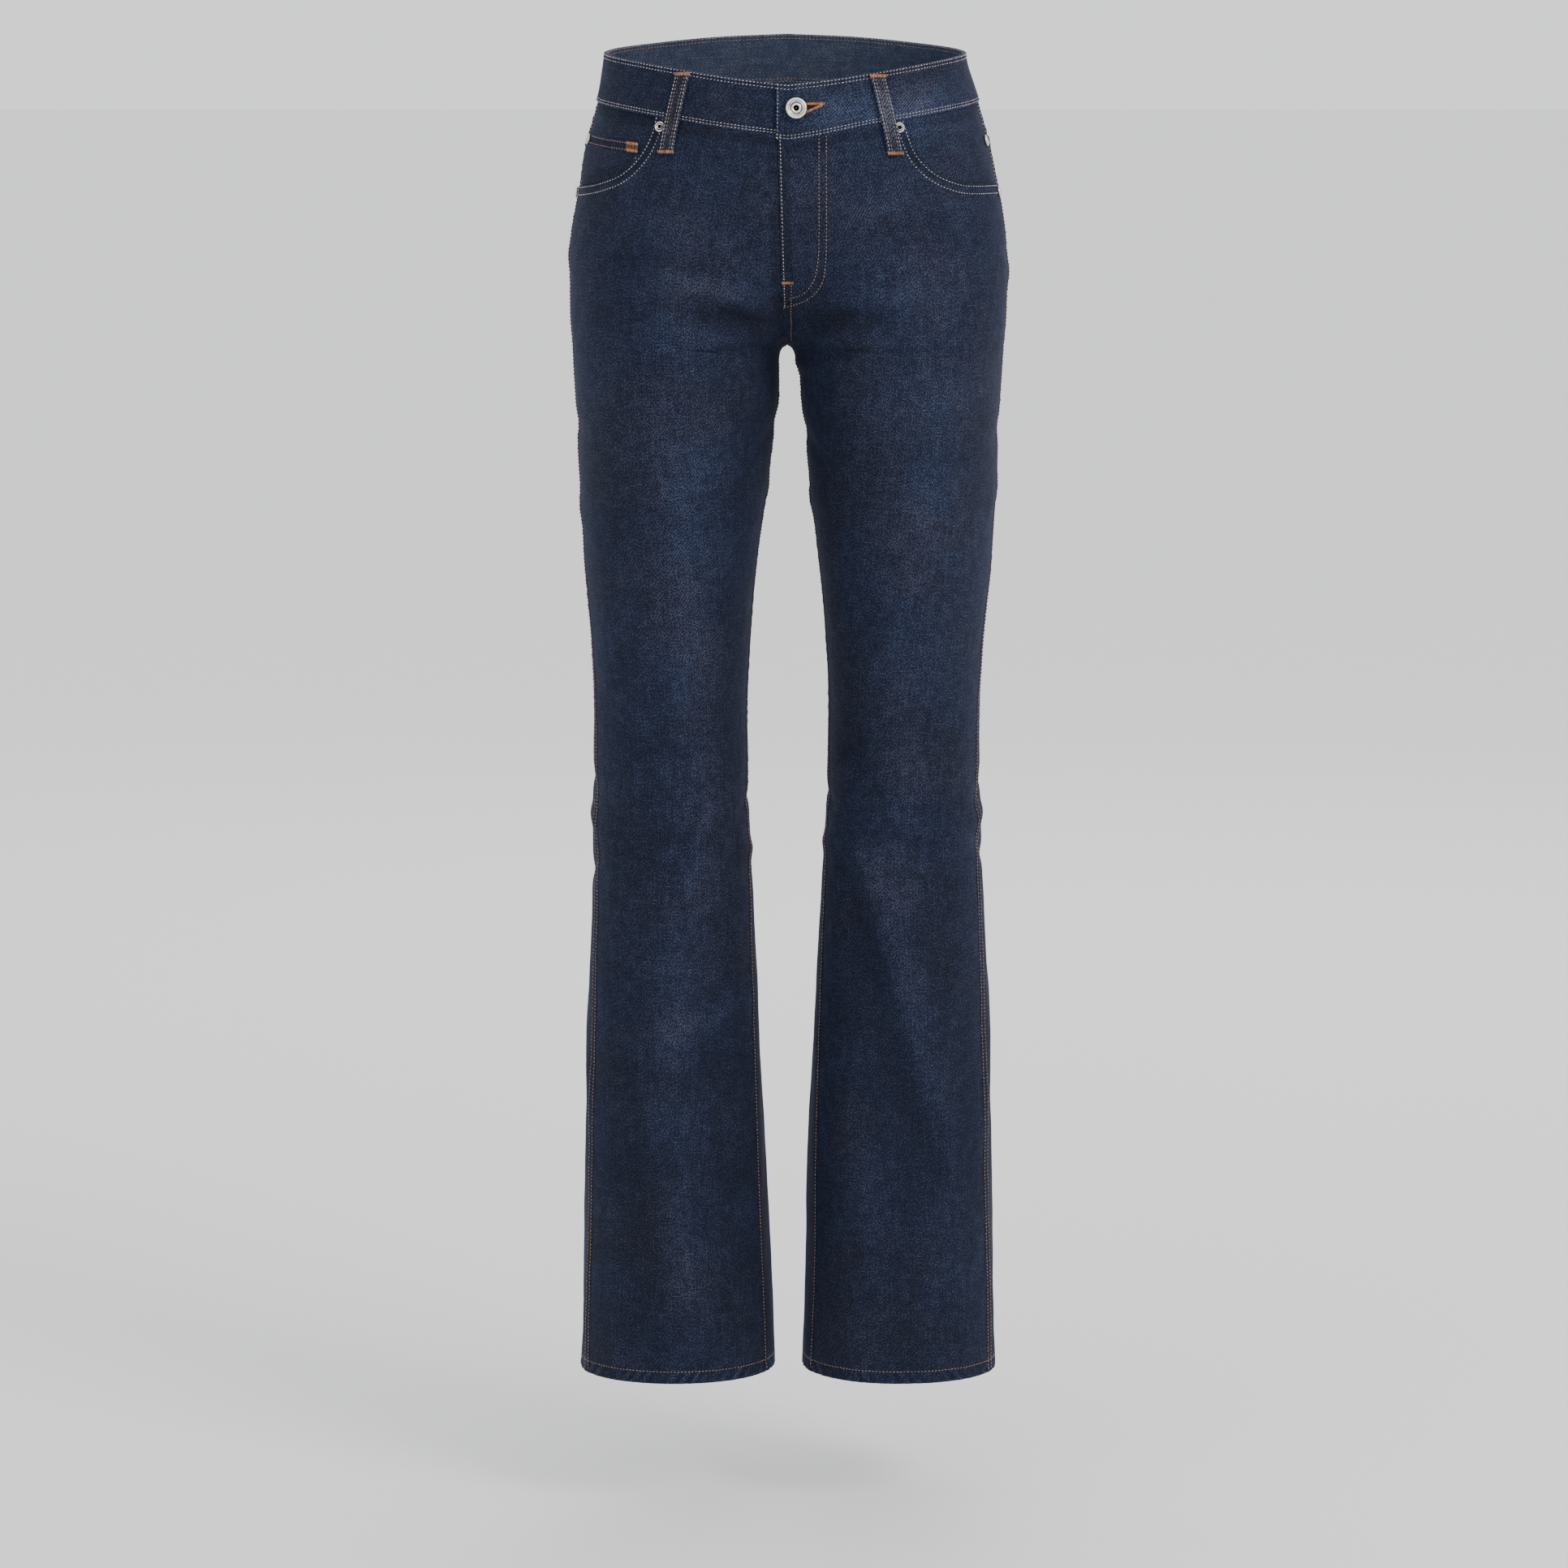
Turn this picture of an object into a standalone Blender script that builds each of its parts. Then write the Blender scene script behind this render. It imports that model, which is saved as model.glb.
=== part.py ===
"""Low-rise jeans in worn form, hollow, with no wearer.

Metres, +Z up, the front faces -Y and +X is the wearer's left. The origin is the centre of the waist opening,
level with the waistband's top edge at the centre front.
"""
import math

import bmesh
import bpy
import numpy as np
from mathutils import Matrix, Vector

# Cloth: wall, gap at a seam, gap between layers
WALL = 0.0012
SEAM_GAP = 0.0004
LAYER_GAP = 0.0003

# Legs: hem height, turned hem's height and wall, step at its edge
HEM_Z = -1.0575
HEM_FOLD = 0.011
HEM_WALL = 0.0024
HEM_STEP = 0.0008

# Crotch: its point, half width of the saddle between the legs, heights of its arch and of the rise curves
CROTCH_Z = -0.2105
CROTCH_Y = 0.008
SADDLE_HALF = 0.0070
ARCH_HEIGHT = 0.012
FRONT_RISE_CURVE = 0.100
BACK_RISE_CURVE = 0.130

# Waistband: height, wall, how far it stands proud, overlap at the front, and where it begins to sink under
BAND_HEIGHT = 0.0403
BAND_WALL = 0.0026
BAND_PROUD = 0.0009
BAND_LAP = 0.030
BAND_SINK_START = 3.82
BAND_SINK_END = 3.99
BAND_LEAN = 0.03

# Fly: place of its edge at the waistband and at its lower end, that end's height, height of the curve to the middle
FLY_LAP_X = -0.0085
FLY_LOW_X = -0.0040
FLY_END_Z = -0.176
FLY_RETURN = 0.020
SHIELD_RIGHT = -0.020
SHIELD_LEFT = 0.014
SHIELD_END_Z = -0.168
SHIELD_GAP = 0.0008

# Belt loops: width, wall, how far the middle stands off, fullness of its bow, the upper end's height over the cloth
LOOP_WIDTH = 0.012
LOOP_WALL = 0.0016
LOOP_RISE = 0.0024
LOOP_BOW = 0.6
LOOP_TOP_LIFT = 0.0013

# Button and rivets
BUTTON_X = 0.007
BUTTON_DROP = 0.019
BUTTON_DIAMETER = 0.017
BUTTON_STEPS = 24
RIVET_DIAMETER = 0.009
RIVET_HEIGHT = 0.0018
RIVET_STEPS = 14

# Back patch pockets and the yoke above them
POCKET_WIDTH = 0.122
POCKET_LOW_WIDTH = 0.100
POCKET_HEIGHT = 0.150
POCKET_POINT = 0.022
POCKET_TOP_Z = -0.066
POCKET_MIDDLE_X = 0.084
POCKET_WALL = 0.0014
YOKE_BACK_Z = -0.060
YOKE_SIDE_Z = -0.050

# Coin pocket and pocket facings
COIN_WALL = 0.0010
COIN_TOP_Z = -0.0395
COIN_INNER_X = 0.1185
COIN_LOW_Z = -0.0562
COIN_OUTER_X = 0.1650
COIN_OUTER_LOW_Z = -0.0800
FACING_LAP = 0.010
FACING_LOW_Z = -0.090

# Prisms that cut outlines: half length along Y, and how far they reach past the cloth
PRISM_HALF = 0.2
PRISM_SIDE_X = 0.2
PRISM_TOP_Z = 0.06

# Grids: columns of a panel, its narrow edge columns, upper end of the side seam, stretch that follows the top
PANEL_COLUMNS = 12
EDGE_SHARE = 0.02
OUTER_TOP_Z = -0.0145
TOP_FADE = 0.16
LEAN_POWER = 1.5
ARC_SAMPLES = 49
SLOPE_STEP = 0.0015

# Folds: share of a fold's length that each soft end takes, and how soon they die out where the cloth turns away
FOLD_END = 0.18
FOLD_TURN = 1.3

LEFT, RIGHT = 1, -1
FRONT, BACK = -1, 1

# Belt loops by distance along the cloth from the middle, and height, of their two ends
LOOP_COLUMNS = ("name", "side", "face", "distance_top", "z_top", "distance_low", "z_low")
LOOPS = (
    ("loop_front_left", LEFT, FRONT, 0.0715, 0.0076, 0.0865, -0.0560),
    ("loop_front_right", RIGHT, FRONT, 0.0835, 0.0092, 0.0975, -0.0550),
    ("loop_side_left", LEFT, BACK, 0.1560, 0.0262, 0.1600, -0.0370),
    ("loop_side_right", RIGHT, BACK, 0.1560, 0.0262, 0.1600, -0.0370),
    ("loop_back", LEFT, BACK, 0.0064, 0.0397, 0.0064, -0.0235),
)
# Rivets by distance from the middle plane and height, and how far out the cloth lies that each sits on
RIVET_COLUMNS = ("name", "side", "across", "z", "lift")
RIVETS = (
    ("rivet_mouth_right", RIGHT, 0.1005, -0.0335, 0.0),
    ("rivet_mouth_left", LEFT, 0.0885, -0.0340, 0.0),
    ("rivet_side_right", RIGHT, 0.1595, -0.0440, COIN_WALL - WALL),
    ("rivet_side_left", LEFT, 0.1612, -0.0450, -WALL - LAYER_GAP),
    ("rivet_low_right", RIGHT, 0.1690, -0.0870, 0.0),
    ("rivet_low_left", LEFT, 0.1700, -0.0860, 0.0),
)

# Half widths by height: outer and inner edge of the wearer's right and left side
OUTLINE_COLUMNS = ("z", "outer_right", "outer_left", "inner_right", "inner_left")
OUTLINE = (
    (0.045, 0.1440, 0.1425, 0.000, 0.000),
    (0.021, 0.1470, 0.1435, 0.000, 0.000),
    (-0.012, 0.1525, 0.1535, 0.000, 0.000),
    (-0.052, 0.1635, 0.1645, 0.000, 0.000),
    (-0.089, 0.1688, 0.1715, 0.000, 0.000),
    (-0.120, 0.1738, 0.1760, 0.000, 0.000),
    (-0.150, 0.1752, 0.1775, 0.000, 0.000),
    (-0.190, 0.1750, 0.1765, 0.000, 0.000),
    (-0.2105, 0.1738, 0.1750, 0.000, 0.000),
    (-0.232, 0.1726, 0.1738, 0.0060, 0.0100),
    (-0.250, 0.1716, 0.1728, 0.0068, 0.0114),
    (-0.285, 0.1700, 0.1712, 0.0112, 0.0152),
    (-0.339, 0.1670, 0.1683, 0.0185, 0.0205),
    (-0.392, 0.1645, 0.1655, 0.0256, 0.0268),
    (-0.445, 0.1600, 0.1603, 0.0296, 0.0315),
    (-0.500, 0.1582, 0.1577, 0.0325, 0.0338),
    (-0.552, 0.1588, 0.1578, 0.0320, 0.0328),
    (-0.606, 0.1594, 0.1594, 0.0307, 0.0310),
    (-0.660, 0.1604, 0.1616, 0.0281, 0.0280),
    (-0.714, 0.1625, 0.1642, 0.0254, 0.0248),
    (-0.796, 0.1650, 0.1673, 0.0214, 0.0203),
    (-0.878, 0.1674, 0.1697, 0.0172, 0.0164),
    (-0.960, 0.1697, 0.1720, 0.0134, 0.0154),
    (-1.0575, 0.1720, 0.1735, 0.0100, 0.0125),
)
# Depths by height: front and back, distance of the fullest point from the middle, widest point and roundness
DEPTH_COLUMNS = ("z", "front_y", "back_y", "front_full_x", "back_full_x", "seam_y", "roundness")
DEPTH = (
    (0.045, -0.091, 0.096, 0.000, 0.000, 0.004, 2.05),
    (0.000, -0.093, 0.099, 0.000, 0.000, 0.002, 2.05),
    (-0.040, -0.097, 0.106, 0.004, 0.010, 0.000, 2.10),
    (-0.080, -0.100, 0.116, 0.018, 0.040, -0.002, 2.15),
    (-0.120, -0.101, 0.121, 0.040, 0.066, -0.002, 2.20),
    (-0.160, -0.100, 0.121, 0.062, 0.078, 0.000, 2.20),
    (-0.2105, -0.098, 0.113, 0.082, 0.084, 0.002, 2.15),
    (-0.260, -0.096, 0.100, 0.090, 0.090, 0.002, 2.10),
    (-0.350, -0.090, 0.086, 0.094, 0.094, 0.000, 2.10),
    (-0.450, -0.080, 0.075, 0.095, 0.095, -0.002, 2.10),
    (-0.520, -0.073, 0.067, 0.095, 0.095, -0.002, 2.10),
    (-0.600, -0.069, 0.062, 0.095, 0.095, -0.002, 2.10),
    (-0.680, -0.066, 0.066, 0.095, 0.095, 0.000, 2.10),
    (-0.780, -0.064, 0.071, 0.094, 0.094, 0.002, 2.10),
    (-0.900, -0.066, 0.070, 0.093, 0.093, 0.002, 2.10),
    (-1.0575, -0.069, 0.068, 0.092, 0.092, 0.001, 2.10),
)
# How far forward of a leg's widest and innermost points its side seam and inseam run, for the fronts are cut narrower
FORWARD_COLUMNS = ("z", "outseam", "inseam")
FORWARD = (
    (0.045, 0.000, 0.000),
    (-0.200, 0.000, 0.000),
    (-0.280, 0.000, 0.000),
    (-0.350, 0.004, 0.002),
    (-0.450, 0.012, 0.006),
    (-0.520, 0.017, 0.009),
    (-0.600, 0.020, 0.012),
    (-0.680, 0.022, 0.017),
    (-0.780, 0.024, 0.023),
    (-0.900, 0.025, 0.028),
    (-1.0575, 0.025, 0.029),
)
# The waistband's top edge by quarter turns from the centre front round to the centre back
BAND_TOP_COLUMNS = ("quarters", "z")
BAND_TOP = (
    (0.0, 0.0),
    (0.2, 0.0045),
    (0.44, 0.0115),
    (0.7, 0.0190),
    (1.0, 0.0255),
    (1.35, 0.0320),
    (1.7, 0.0380),
    (2.0, 0.0405),
)
# The pocket mouth's edge on each front panel, from the waistband seam to the side seam
MOUTH_COLUMNS = ("across_right", "z_right", "across_left", "z_left")
MOUTH = (
    (0.1040, -0.0200, 0.0905, -0.0200),
    (0.1075, -0.0364, 0.0957, -0.0377),
    (0.1183, -0.0568, 0.1041, -0.0562),
    (0.1329, -0.0705, 0.1154, -0.0679),
    (0.1500, -0.0775, 0.1335, -0.0767),
    (0.1690, -0.0815, 0.1705, -0.0795),
)
# Rows of a leg panel: from and to shares of its length, and how many rows between
PANEL_ROWS = ((0.0, 0.10, 5), (0.10, 0.32, 12), (0.32, 0.47, 4), (0.47, 0.62, 7), (0.62, 0.985, 11))
# Large folds: a soft trough (depth below zero) or ridge between two points, seen face on
FOLD_COLUMNS = ("face", "x0", "z0", "x1", "z1", "half_width", "depth")
FOLDS = (
    (FRONT, -0.086, -0.178, -0.016, -0.190, 0.0085, -0.0050),
    (FRONT, 0.012, -0.190, 0.077, -0.180, 0.0085, -0.0050),
    (FRONT, -0.110, -0.150, -0.026, -0.171, 0.0100, 0.0035),
    (FRONT, 0.044, -0.172, 0.100, -0.174, 0.0100, 0.0035),
    (FRONT, -0.052, -0.212, -0.012, -0.205, 0.0070, -0.0035),
    (FRONT, 0.012, -0.206, 0.052, -0.214, 0.0070, -0.0035),
    (FRONT, -0.140, -0.139, -0.048, -0.149, 0.0120, -0.0030),
    (FRONT, 0.062, -0.118, 0.124, -0.110, 0.0120, -0.0030),
    (FRONT, -0.100, -0.122, -0.040, -0.128, 0.0120, 0.0022),
    (FRONT, 0.046, -0.103, 0.134, -0.101, 0.0120, 0.0022),
    (FRONT, -0.110, -0.604, -0.052, -0.612, 0.0110, -0.0040),
    (FRONT, -0.060, -0.573, -0.078, -0.655, 0.0120, 0.0035),
    (FRONT, 0.044, -0.526, 0.078, -0.577, 0.0120, -0.0040),
    (FRONT, 0.060, -0.603, 0.128, -0.614, 0.0110, -0.0040),
    (FRONT, 0.057, -0.615, 0.075, -0.652, 0.0110, 0.0030),
    (FRONT, -0.104, -0.772, -0.032, -0.742, 0.0130, 0.0035),
    (FRONT, -0.090, -0.690, -0.106, -0.860, 0.0150, 0.0040),
    (FRONT, -0.100, -0.900, -0.074, -1.000, 0.0150, 0.0035),
    (FRONT, 0.048, -0.640, 0.108, -0.862, 0.0150, -0.0045),
    (FRONT, 0.074, -0.640, 0.116, -0.830, 0.0140, 0.0035),
    (FRONT, 0.050, -0.826, 0.062, -0.915, 0.0140, 0.0035),
    (BACK, -0.128, -0.236, -0.030, -0.226, 0.0110, -0.0045),
    (BACK, 0.030, -0.226, 0.128, -0.236, 0.0110, -0.0045),
    (BACK, -0.120, -0.270, -0.036, -0.252, 0.0110, -0.0035),
    (BACK, 0.034, -0.256, 0.122, -0.272, 0.0110, -0.0035),
    (BACK, -0.140, -0.585, -0.052, -0.600, 0.0110, -0.0050),
    (BACK, -0.136, -0.622, -0.046, -0.612, 0.0110, -0.0045),
    (BACK, 0.050, -0.592, 0.140, -0.580, 0.0110, -0.0050),
    (BACK, 0.048, -0.608, 0.136, -0.626, 0.0110, -0.0045),
    (BACK, -0.106, -0.700, -0.078, -0.900, 0.0160, 0.0035),
    (BACK, 0.080, -0.690, 0.108, -0.890, 0.0160, 0.0035),
)


def column(table, columns, name):
    """One named column of a table, with the first column ascending."""
    rows = sorted(table)
    key = np.array([row[0] for row in rows])
    return key, np.array([row[columns.index(name)] for row in rows])


def smooth(table, columns, name, at):
    """A smooth curve through a named column, read at the given places."""
    key, value = column(table, columns, name)
    slope = np.gradient(value, key)
    at = np.clip(at, key[0], key[-1])
    i = np.clip(np.searchsorted(key, at) - 1, 0, len(key) - 2)
    span = key[i + 1] - key[i]
    s = (at - key[i]) / span
    return (
        value[i] * (2 * s**3 - 3 * s**2 + 1)
        + slope[i] * span * (s**3 - 2 * s**2 + s)
        + value[i + 1] * (3 * s**2 - 2 * s**3)
        + slope[i + 1] * span * (s**3 - s**2)
    )


def ease(x):
    """A step from 0 to 1 with soft ends."""
    x = np.clip(x, 0.0, 1.0)
    return x * x * (3.0 - 2.0 * x)


def leg_gap(side, z):
    """Distance of a leg's inner edge from the middle plane, with a round arch at the crotch."""
    name = "inner_left" if side == LEFT else "inner_right"
    table = smooth(OUTLINE, OUTLINE_COLUMNS, name, z)
    below = np.clip((CROTCH_Z - z) / ARCH_HEIGHT, 0.0, 1.0)
    arch = SADDLE_HALF * np.sqrt(np.clip(1.0 - (1.0 - below) ** 2, 0.0, 1.0))
    return np.where(z < CROTCH_Z, np.maximum(arch, table), 0.0)


def rise_share(face, z):
    """How far the rise seam has come round from the crotch (0) to the fullest depth (1) at each height."""
    height = FRONT_RISE_CURVE if face == FRONT else BACK_RISE_CURVE
    up = np.clip((z - CROTCH_Z) / height, 0.0, 1.0)
    return np.sqrt(1.0 - (1.0 - up) ** 2)


class Section:
    """Horizontal section of one side's front or back at each of an array of heights.

    Places on it are told by their distance along the cloth from the inner edge: the rise seam above the
    crotch and the inseam below it. A distance below zero lies over the centre front or back, on the other side.
    """

    def __init__(self, side, face, z):
        self.z = np.asarray(z, float)
        self.face = face
        outer_name = "outer_left" if side == LEFT else "outer_right"
        self.outer = smooth(OUTLINE, OUTLINE_COLUMNS, outer_name, self.z)
        self.inner = leg_gap(side, self.z)
        edge_y = smooth(DEPTH, DEPTH_COLUMNS, "front_y" if face == FRONT else "back_y", self.z)
        full_x = smooth(DEPTH, DEPTH_COLUMNS, "front_full_x" if face == FRONT else "back_full_x", self.z)
        self.full_x = np.maximum(full_x, 0.0)
        self.seam_y = smooth(DEPTH, DEPTH_COLUMNS, "seam_y", self.z)
        self.power = smooth(DEPTH, DEPTH_COLUMNS, "roundness", self.z)
        self.outer_depth = abs(edge_y - self.seam_y)
        self.inner_depth = abs(edge_y - CROTCH_Y)
        saddle = np.maximum(SADDLE_HALF, self.inner)
        self.shift = saddle**2 - self.inner**2
        self.full_near = np.sqrt(self.full_x**2 + self.shift)
        rise = np.minimum(rise_share(face, self.z), 0.9995)
        width = (self.full_near - saddle) / (1.0 - rise**self.power) ** (1.0 / self.power)
        self.inner_width = np.maximum(width, 1e-6)
        self.turn = np.linspace(0.0, np.pi, ARC_SAMPLES)[None, :]
        across = self.inner[:, None] + (self.outer - self.inner)[:, None] * (0.5 - 0.5 * np.cos(self.turn))
        piece = np.hypot(np.diff(across, axis=1), np.diff(self.y_at(across), axis=1))
        self.walked = np.concatenate([np.zeros((len(piece), 1)), np.cumsum(piece, axis=1)], axis=1)
        self.length = self.walked[:, -1]

    def y_at(self, across):
        """The cloth's y at a distance from the middle plane, for a row of distances at each height."""
        grow = (slice(None), None) if across.ndim == 2 else slice(None)
        power, full_x = self.power[grow], self.full_x[grow]
        out = np.clip((across - full_x) / (self.outer[grow] - full_x), 0.0, 1.0)
        outer_bow = (1.0 - out**power) ** (1.0 / power)
        outer_y = self.seam_y[grow] + self.face * self.outer_depth[grow] * outer_bow
        near = np.sqrt(np.maximum(across**2 + self.shift[grow], 0.0))
        inward = np.clip((self.full_near[grow] - near) / self.inner_width[grow], 0.0, 1.0)
        inner_bow = (1.0 - inward**power) ** (1.0 / power)
        inner_y = CROTCH_Y + self.face * self.inner_depth[grow] * inner_bow
        return np.where(across >= full_x, outer_y, inner_y)

    def across_at(self, distance):
        """Distance from the middle plane of a place told by its distance along the cloth."""
        wanted = np.minimum(abs(distance), self.length)
        i = np.clip((self.walked < wanted[:, None]).sum(1) - 1, 0, ARC_SAMPLES - 2)
        row = np.arange(len(i))
        step = np.maximum(self.walked[row, i + 1] - self.walked[row, i], 1e-9)
        turn = (i + (wanted - self.walked[row, i]) / step) * np.pi / (ARC_SAMPLES - 1)
        return self.inner + (self.outer - self.inner) * (0.5 - 0.5 * np.cos(turn))

    def distance_to(self, across):
        """Distance along the cloth of a place told by its distance from the middle plane."""
        share = np.clip((across - self.inner) / (self.outer - self.inner), 0.0, 1.0)
        place = np.arccos(1.0 - 2.0 * share) * (ARC_SAMPLES - 1) / np.pi
        i = np.clip(place.astype(int), 0, ARC_SAMPLES - 2)
        row = np.arange(len(i))
        return self.walked[row, i] + (place - i) * (self.walked[row, i + 1] - self.walked[row, i])


def fold_height(face, x, z):
    """Sum of the large folds at places seen face on, each on its own face."""
    total = np.zeros(np.shape(x))
    for row in FOLDS:
        fold = dict(zip(FOLD_COLUMNS, row))
        dx, dz = fold["x1"] - fold["x0"], fold["z1"] - fold["z0"]
        length = math.hypot(dx, dz)
        along = ((x - fold["x0"]) * dx + (z - fold["z0"]) * dz) / length**2
        off = ((x - fold["x0"]) * dz - (z - fold["z0"]) * dx) / length
        ends = ease((np.minimum(along, 1.0 - along) + FOLD_END) / (2.0 * FOLD_END))
        total += (face == fold["face"]) * fold["depth"] * ends * np.exp(-((off / fold["half_width"]) ** 2))
    return total


def base_points(side, face, distance, z):
    """Smooth surface without folds at distances along the cloth and heights, and which face each point is on.

    Past the widest point, or short of a leg's innermost point, the cloth goes on round onto the other face.
    """
    near, far = Section(side, face, z), Section(side, -face, z)
    past = np.maximum(distance - near.length, 0.0)
    short = np.where(near.z < CROTCH_Z, np.maximum(-distance, 0.0), 0.0)
    turned = past + short > 0.0
    across = np.where(turned, far.across_at(np.where(past > 0.0, far.length - past, short)), near.across_at(distance))
    x = side * np.where(turned, 1.0, np.sign(distance)) * across
    y = np.where(turned, far.y_at(across), near.y_at(across))
    return np.stack([x, y, near.z], axis=1), np.where(turned, -face, face)


def seam_forward(face, name, z):
    """How much a panel gives up (front) or gains (back, below zero) at its outseam or inseam."""
    return -face * np.maximum(smooth(FORWARD, FORWARD_COLUMNS, name, z), 0.0)


def cloth_points(side, face, distance, z, lift=0.0):
    """Outer cloth surface with folds, moved out by a lift, and its normals."""
    distance, z, lift = np.broadcast_arrays(distance, z, lift)
    flat_d, flat_z = distance.ravel().astype(float), z.ravel().astype(float)
    around = base_points(side, face, flat_d + SLOPE_STEP, flat_z)[0]
    around -= base_points(side, face, flat_d - SLOPE_STEP, flat_z)[0]
    up = base_points(side, face, flat_d, flat_z + SLOPE_STEP)[0]
    up -= base_points(side, face, flat_d, flat_z - SLOPE_STEP)[0]
    normal = np.cross(around, up) * -side * face
    normal /= np.maximum(np.linalg.norm(normal, axis=1, keepdims=True), 1e-12)
    here, lies_on = base_points(side, face, flat_d, flat_z)
    height = fold_height(lies_on, here[:, 0], here[:, 2]) * np.clip(abs(normal[:, 1]) * FOLD_TURN, 0.0, 1.0)
    moved = here + normal * (height + lift.ravel())[:, None]
    return moved.reshape(distance.shape + (3,)), normal.reshape(distance.shape + (3,))


def band_top(quarters):
    """Height of the waistband's top edge at quarter turns from centre front (0) to centre back (2)."""
    folded = abs((np.asarray(quarters, float) + 2.0) % 4.0 - 2.0)
    return smooth(BAND_TOP, BAND_TOP_COLUMNS, "z", folded)


def band_bottom(quarters):
    """Height of the waistband's seam, whose strip leans more at the sides."""
    folded = abs((np.asarray(quarters, float) + 2.0) % 4.0 - 2.0)
    return band_top(quarters) - BAND_HEIGHT * (1.0 - BAND_LEAN * np.minimum(folded, 2.0 - folded))


def yoke_seam(share):
    """Height of the yoke seam from the centre back (0) to the side seam (1)."""
    return YOKE_BACK_Z + (YOKE_SIDE_Z - YOKE_BACK_Z) * np.asarray(share, float)


def mouth_outline(side, raised=0.0):
    """The pocket mouth's edge as (x, z) points from the waistband seam to the side seam."""
    name = "left" if side == LEFT else "right"
    across, z = MOUTH_COLUMNS.index("across_" + name), MOUTH_COLUMNS.index("z_" + name)
    return [(side * row[across], row[z] + raised) for row in MOUTH]


def inner_edge_heights(face, top_z, stations):
    """Heights down the rise seam and the inseam, at shares of their whole length."""
    curve = FRONT_RISE_CURVE if face == FRONT else BACK_RISE_CURVE
    turn = np.linspace(0.0, np.pi / 2, 60)
    bend = CROTCH_Z + min(curve, top_z - CROTCH_Z) * (1.0 - np.cos(turn))
    arch = CROTCH_Z - ARCH_HEIGHT * (1.0 - np.cos(turn))
    straight = np.linspace(top_z, bend[-1], 30)
    inseam = np.linspace(arch[-1], HEM_Z, 200)
    z = np.minimum.accumulate(np.concatenate([straight, bend[::-1], arch, inseam]))
    section = Section(LEFT, face, z)
    points = np.stack([section.inner, section.y_at(section.inner), z], axis=1)
    walked = np.concatenate([[0.0], np.cumsum(np.linalg.norm(np.diff(points, axis=0), axis=1))])
    return np.interp(np.asarray(stations) * walked[-1], walked, z)


def panel_grid(side, face, top_z, start):
    """Points and normals over a leg panel, whose rows follow both of its edges."""
    stations = np.concatenate([np.linspace(a, b, n, endpoint=False) for a, b, n in PANEL_ROWS])
    inner_z = inner_edge_heights(face, float(top_z(0.0)), stations)
    outer_z = OUTER_TOP_Z + (HEM_Z - OUTER_TOP_Z) * stations
    hem_rows = np.array([HEM_Z + HEM_FOLD + HEM_STEP, HEM_Z + HEM_FOLD, HEM_Z])
    inner_z = np.concatenate([inner_z, hem_rows])
    outer_z = np.concatenate([outer_z, hem_rows])
    fade = 1.0 - ease(np.concatenate([stations, np.ones(3)]) / TOP_FADE)
    middle = np.linspace(0.0, 1.0, PANEL_COLUMNS + 1)[1:-1]
    shares = np.concatenate([[0.0, EDGE_SHARE], middle, [1.0 - EDGE_SHARE, 1.0]])
    z = outer_z[:, None] + (inner_z - outer_z)[:, None] * (1.0 - shares[None, :]) ** LEAN_POWER
    length = Section(side, face, z[0]).length
    first = start(z[0])
    whole_share = (first + shares * (length - SEAM_GAP / 2 - first)) / length
    edge = top_z(whole_share) - SEAM_GAP / 2
    z = z + (edge - z[0])[None, :] * fade[:, None]
    first = start(z) + seam_forward(face, "inseam", z)
    length = Section(side, face, z.ravel()).length.reshape(z.shape)
    last = length - SEAM_GAP / 2 - seam_forward(face, "outseam", z)
    return cloth_points(side, face, first + shares[None, :] * (last - first), z)


def make_material(name, colour, roughness, metallic=0.0):
    """A Principled material of one colour."""
    material = bpy.data.materials.new(name)
    material.use_nodes = True
    shader = material.node_tree.nodes["Principled BSDF"]
    shader.inputs["Base Color"].default_value = (*colour, 1.0)
    shader.inputs["Roughness"].default_value = roughness
    shader.inputs["Metallic"].default_value = metallic
    return material


def add_object(name, mesh, material, collection):
    """Link a mesh as a named object with its material."""
    obj = bpy.data.objects.new(name, mesh)
    mesh.materials.append(material)
    collection.objects.link(obj)
    return obj


def sheet_object(name, points, thickness, material, collection, normals, offset=-1.0):
    """A wall from an open grid of points, grown to one side of it: -1 inwards and 1 outwards."""
    rows, columns = points.shape[:2]
    corner = [i * columns + j for i in range(rows - 1) for j in range(columns - 1)]
    faces = [(k, k + 1, k + columns + 1) for k in corner]
    faces += [(k, k + columns + 1, k + columns) for k in corner]
    mesh = bpy.data.meshes.new(name)
    mesh.from_pydata(points.reshape(-1, 3).tolist(), [], faces)
    middle = (rows // 2 - 1) * (columns - 1) + columns // 2
    if mesh.polygons[middle].normal.dot(Vector(normals[rows // 2, columns // 2])) < 0.0:
        mesh.flip_normals()
    mesh.shade_smooth()
    obj = add_object(name, mesh, material, collection)
    shell = obj.modifiers.new("Wall", "SOLIDIFY")
    shell.thickness = thickness
    shell.offset = offset
    return obj


def seam_start(z):
    """Half a seam's gap from the rise seam or the inseam."""
    return np.full(z.shape, SEAM_GAP / 2)


def fly_edge(z):
    """Place of the fly's edge, past the middle towards the wearer's right and back to the middle below."""
    back = ease((FLY_END_Z - z) / FLY_RETURN)
    return (FLY_LAP_X + (FLY_LOW_X - FLY_LAP_X) * np.clip(z / FLY_END_Z, 0.0, 1.0)) * (1.0 - back)


def fly_over(z):
    """Start of the left front panel, which laps over the middle."""
    return fly_edge(z) + SEAM_GAP / 2


def fly_under(z):
    """Start of the right front panel, measured on its own side."""
    return -fly_edge(z) + SEAM_GAP / 2


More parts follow.
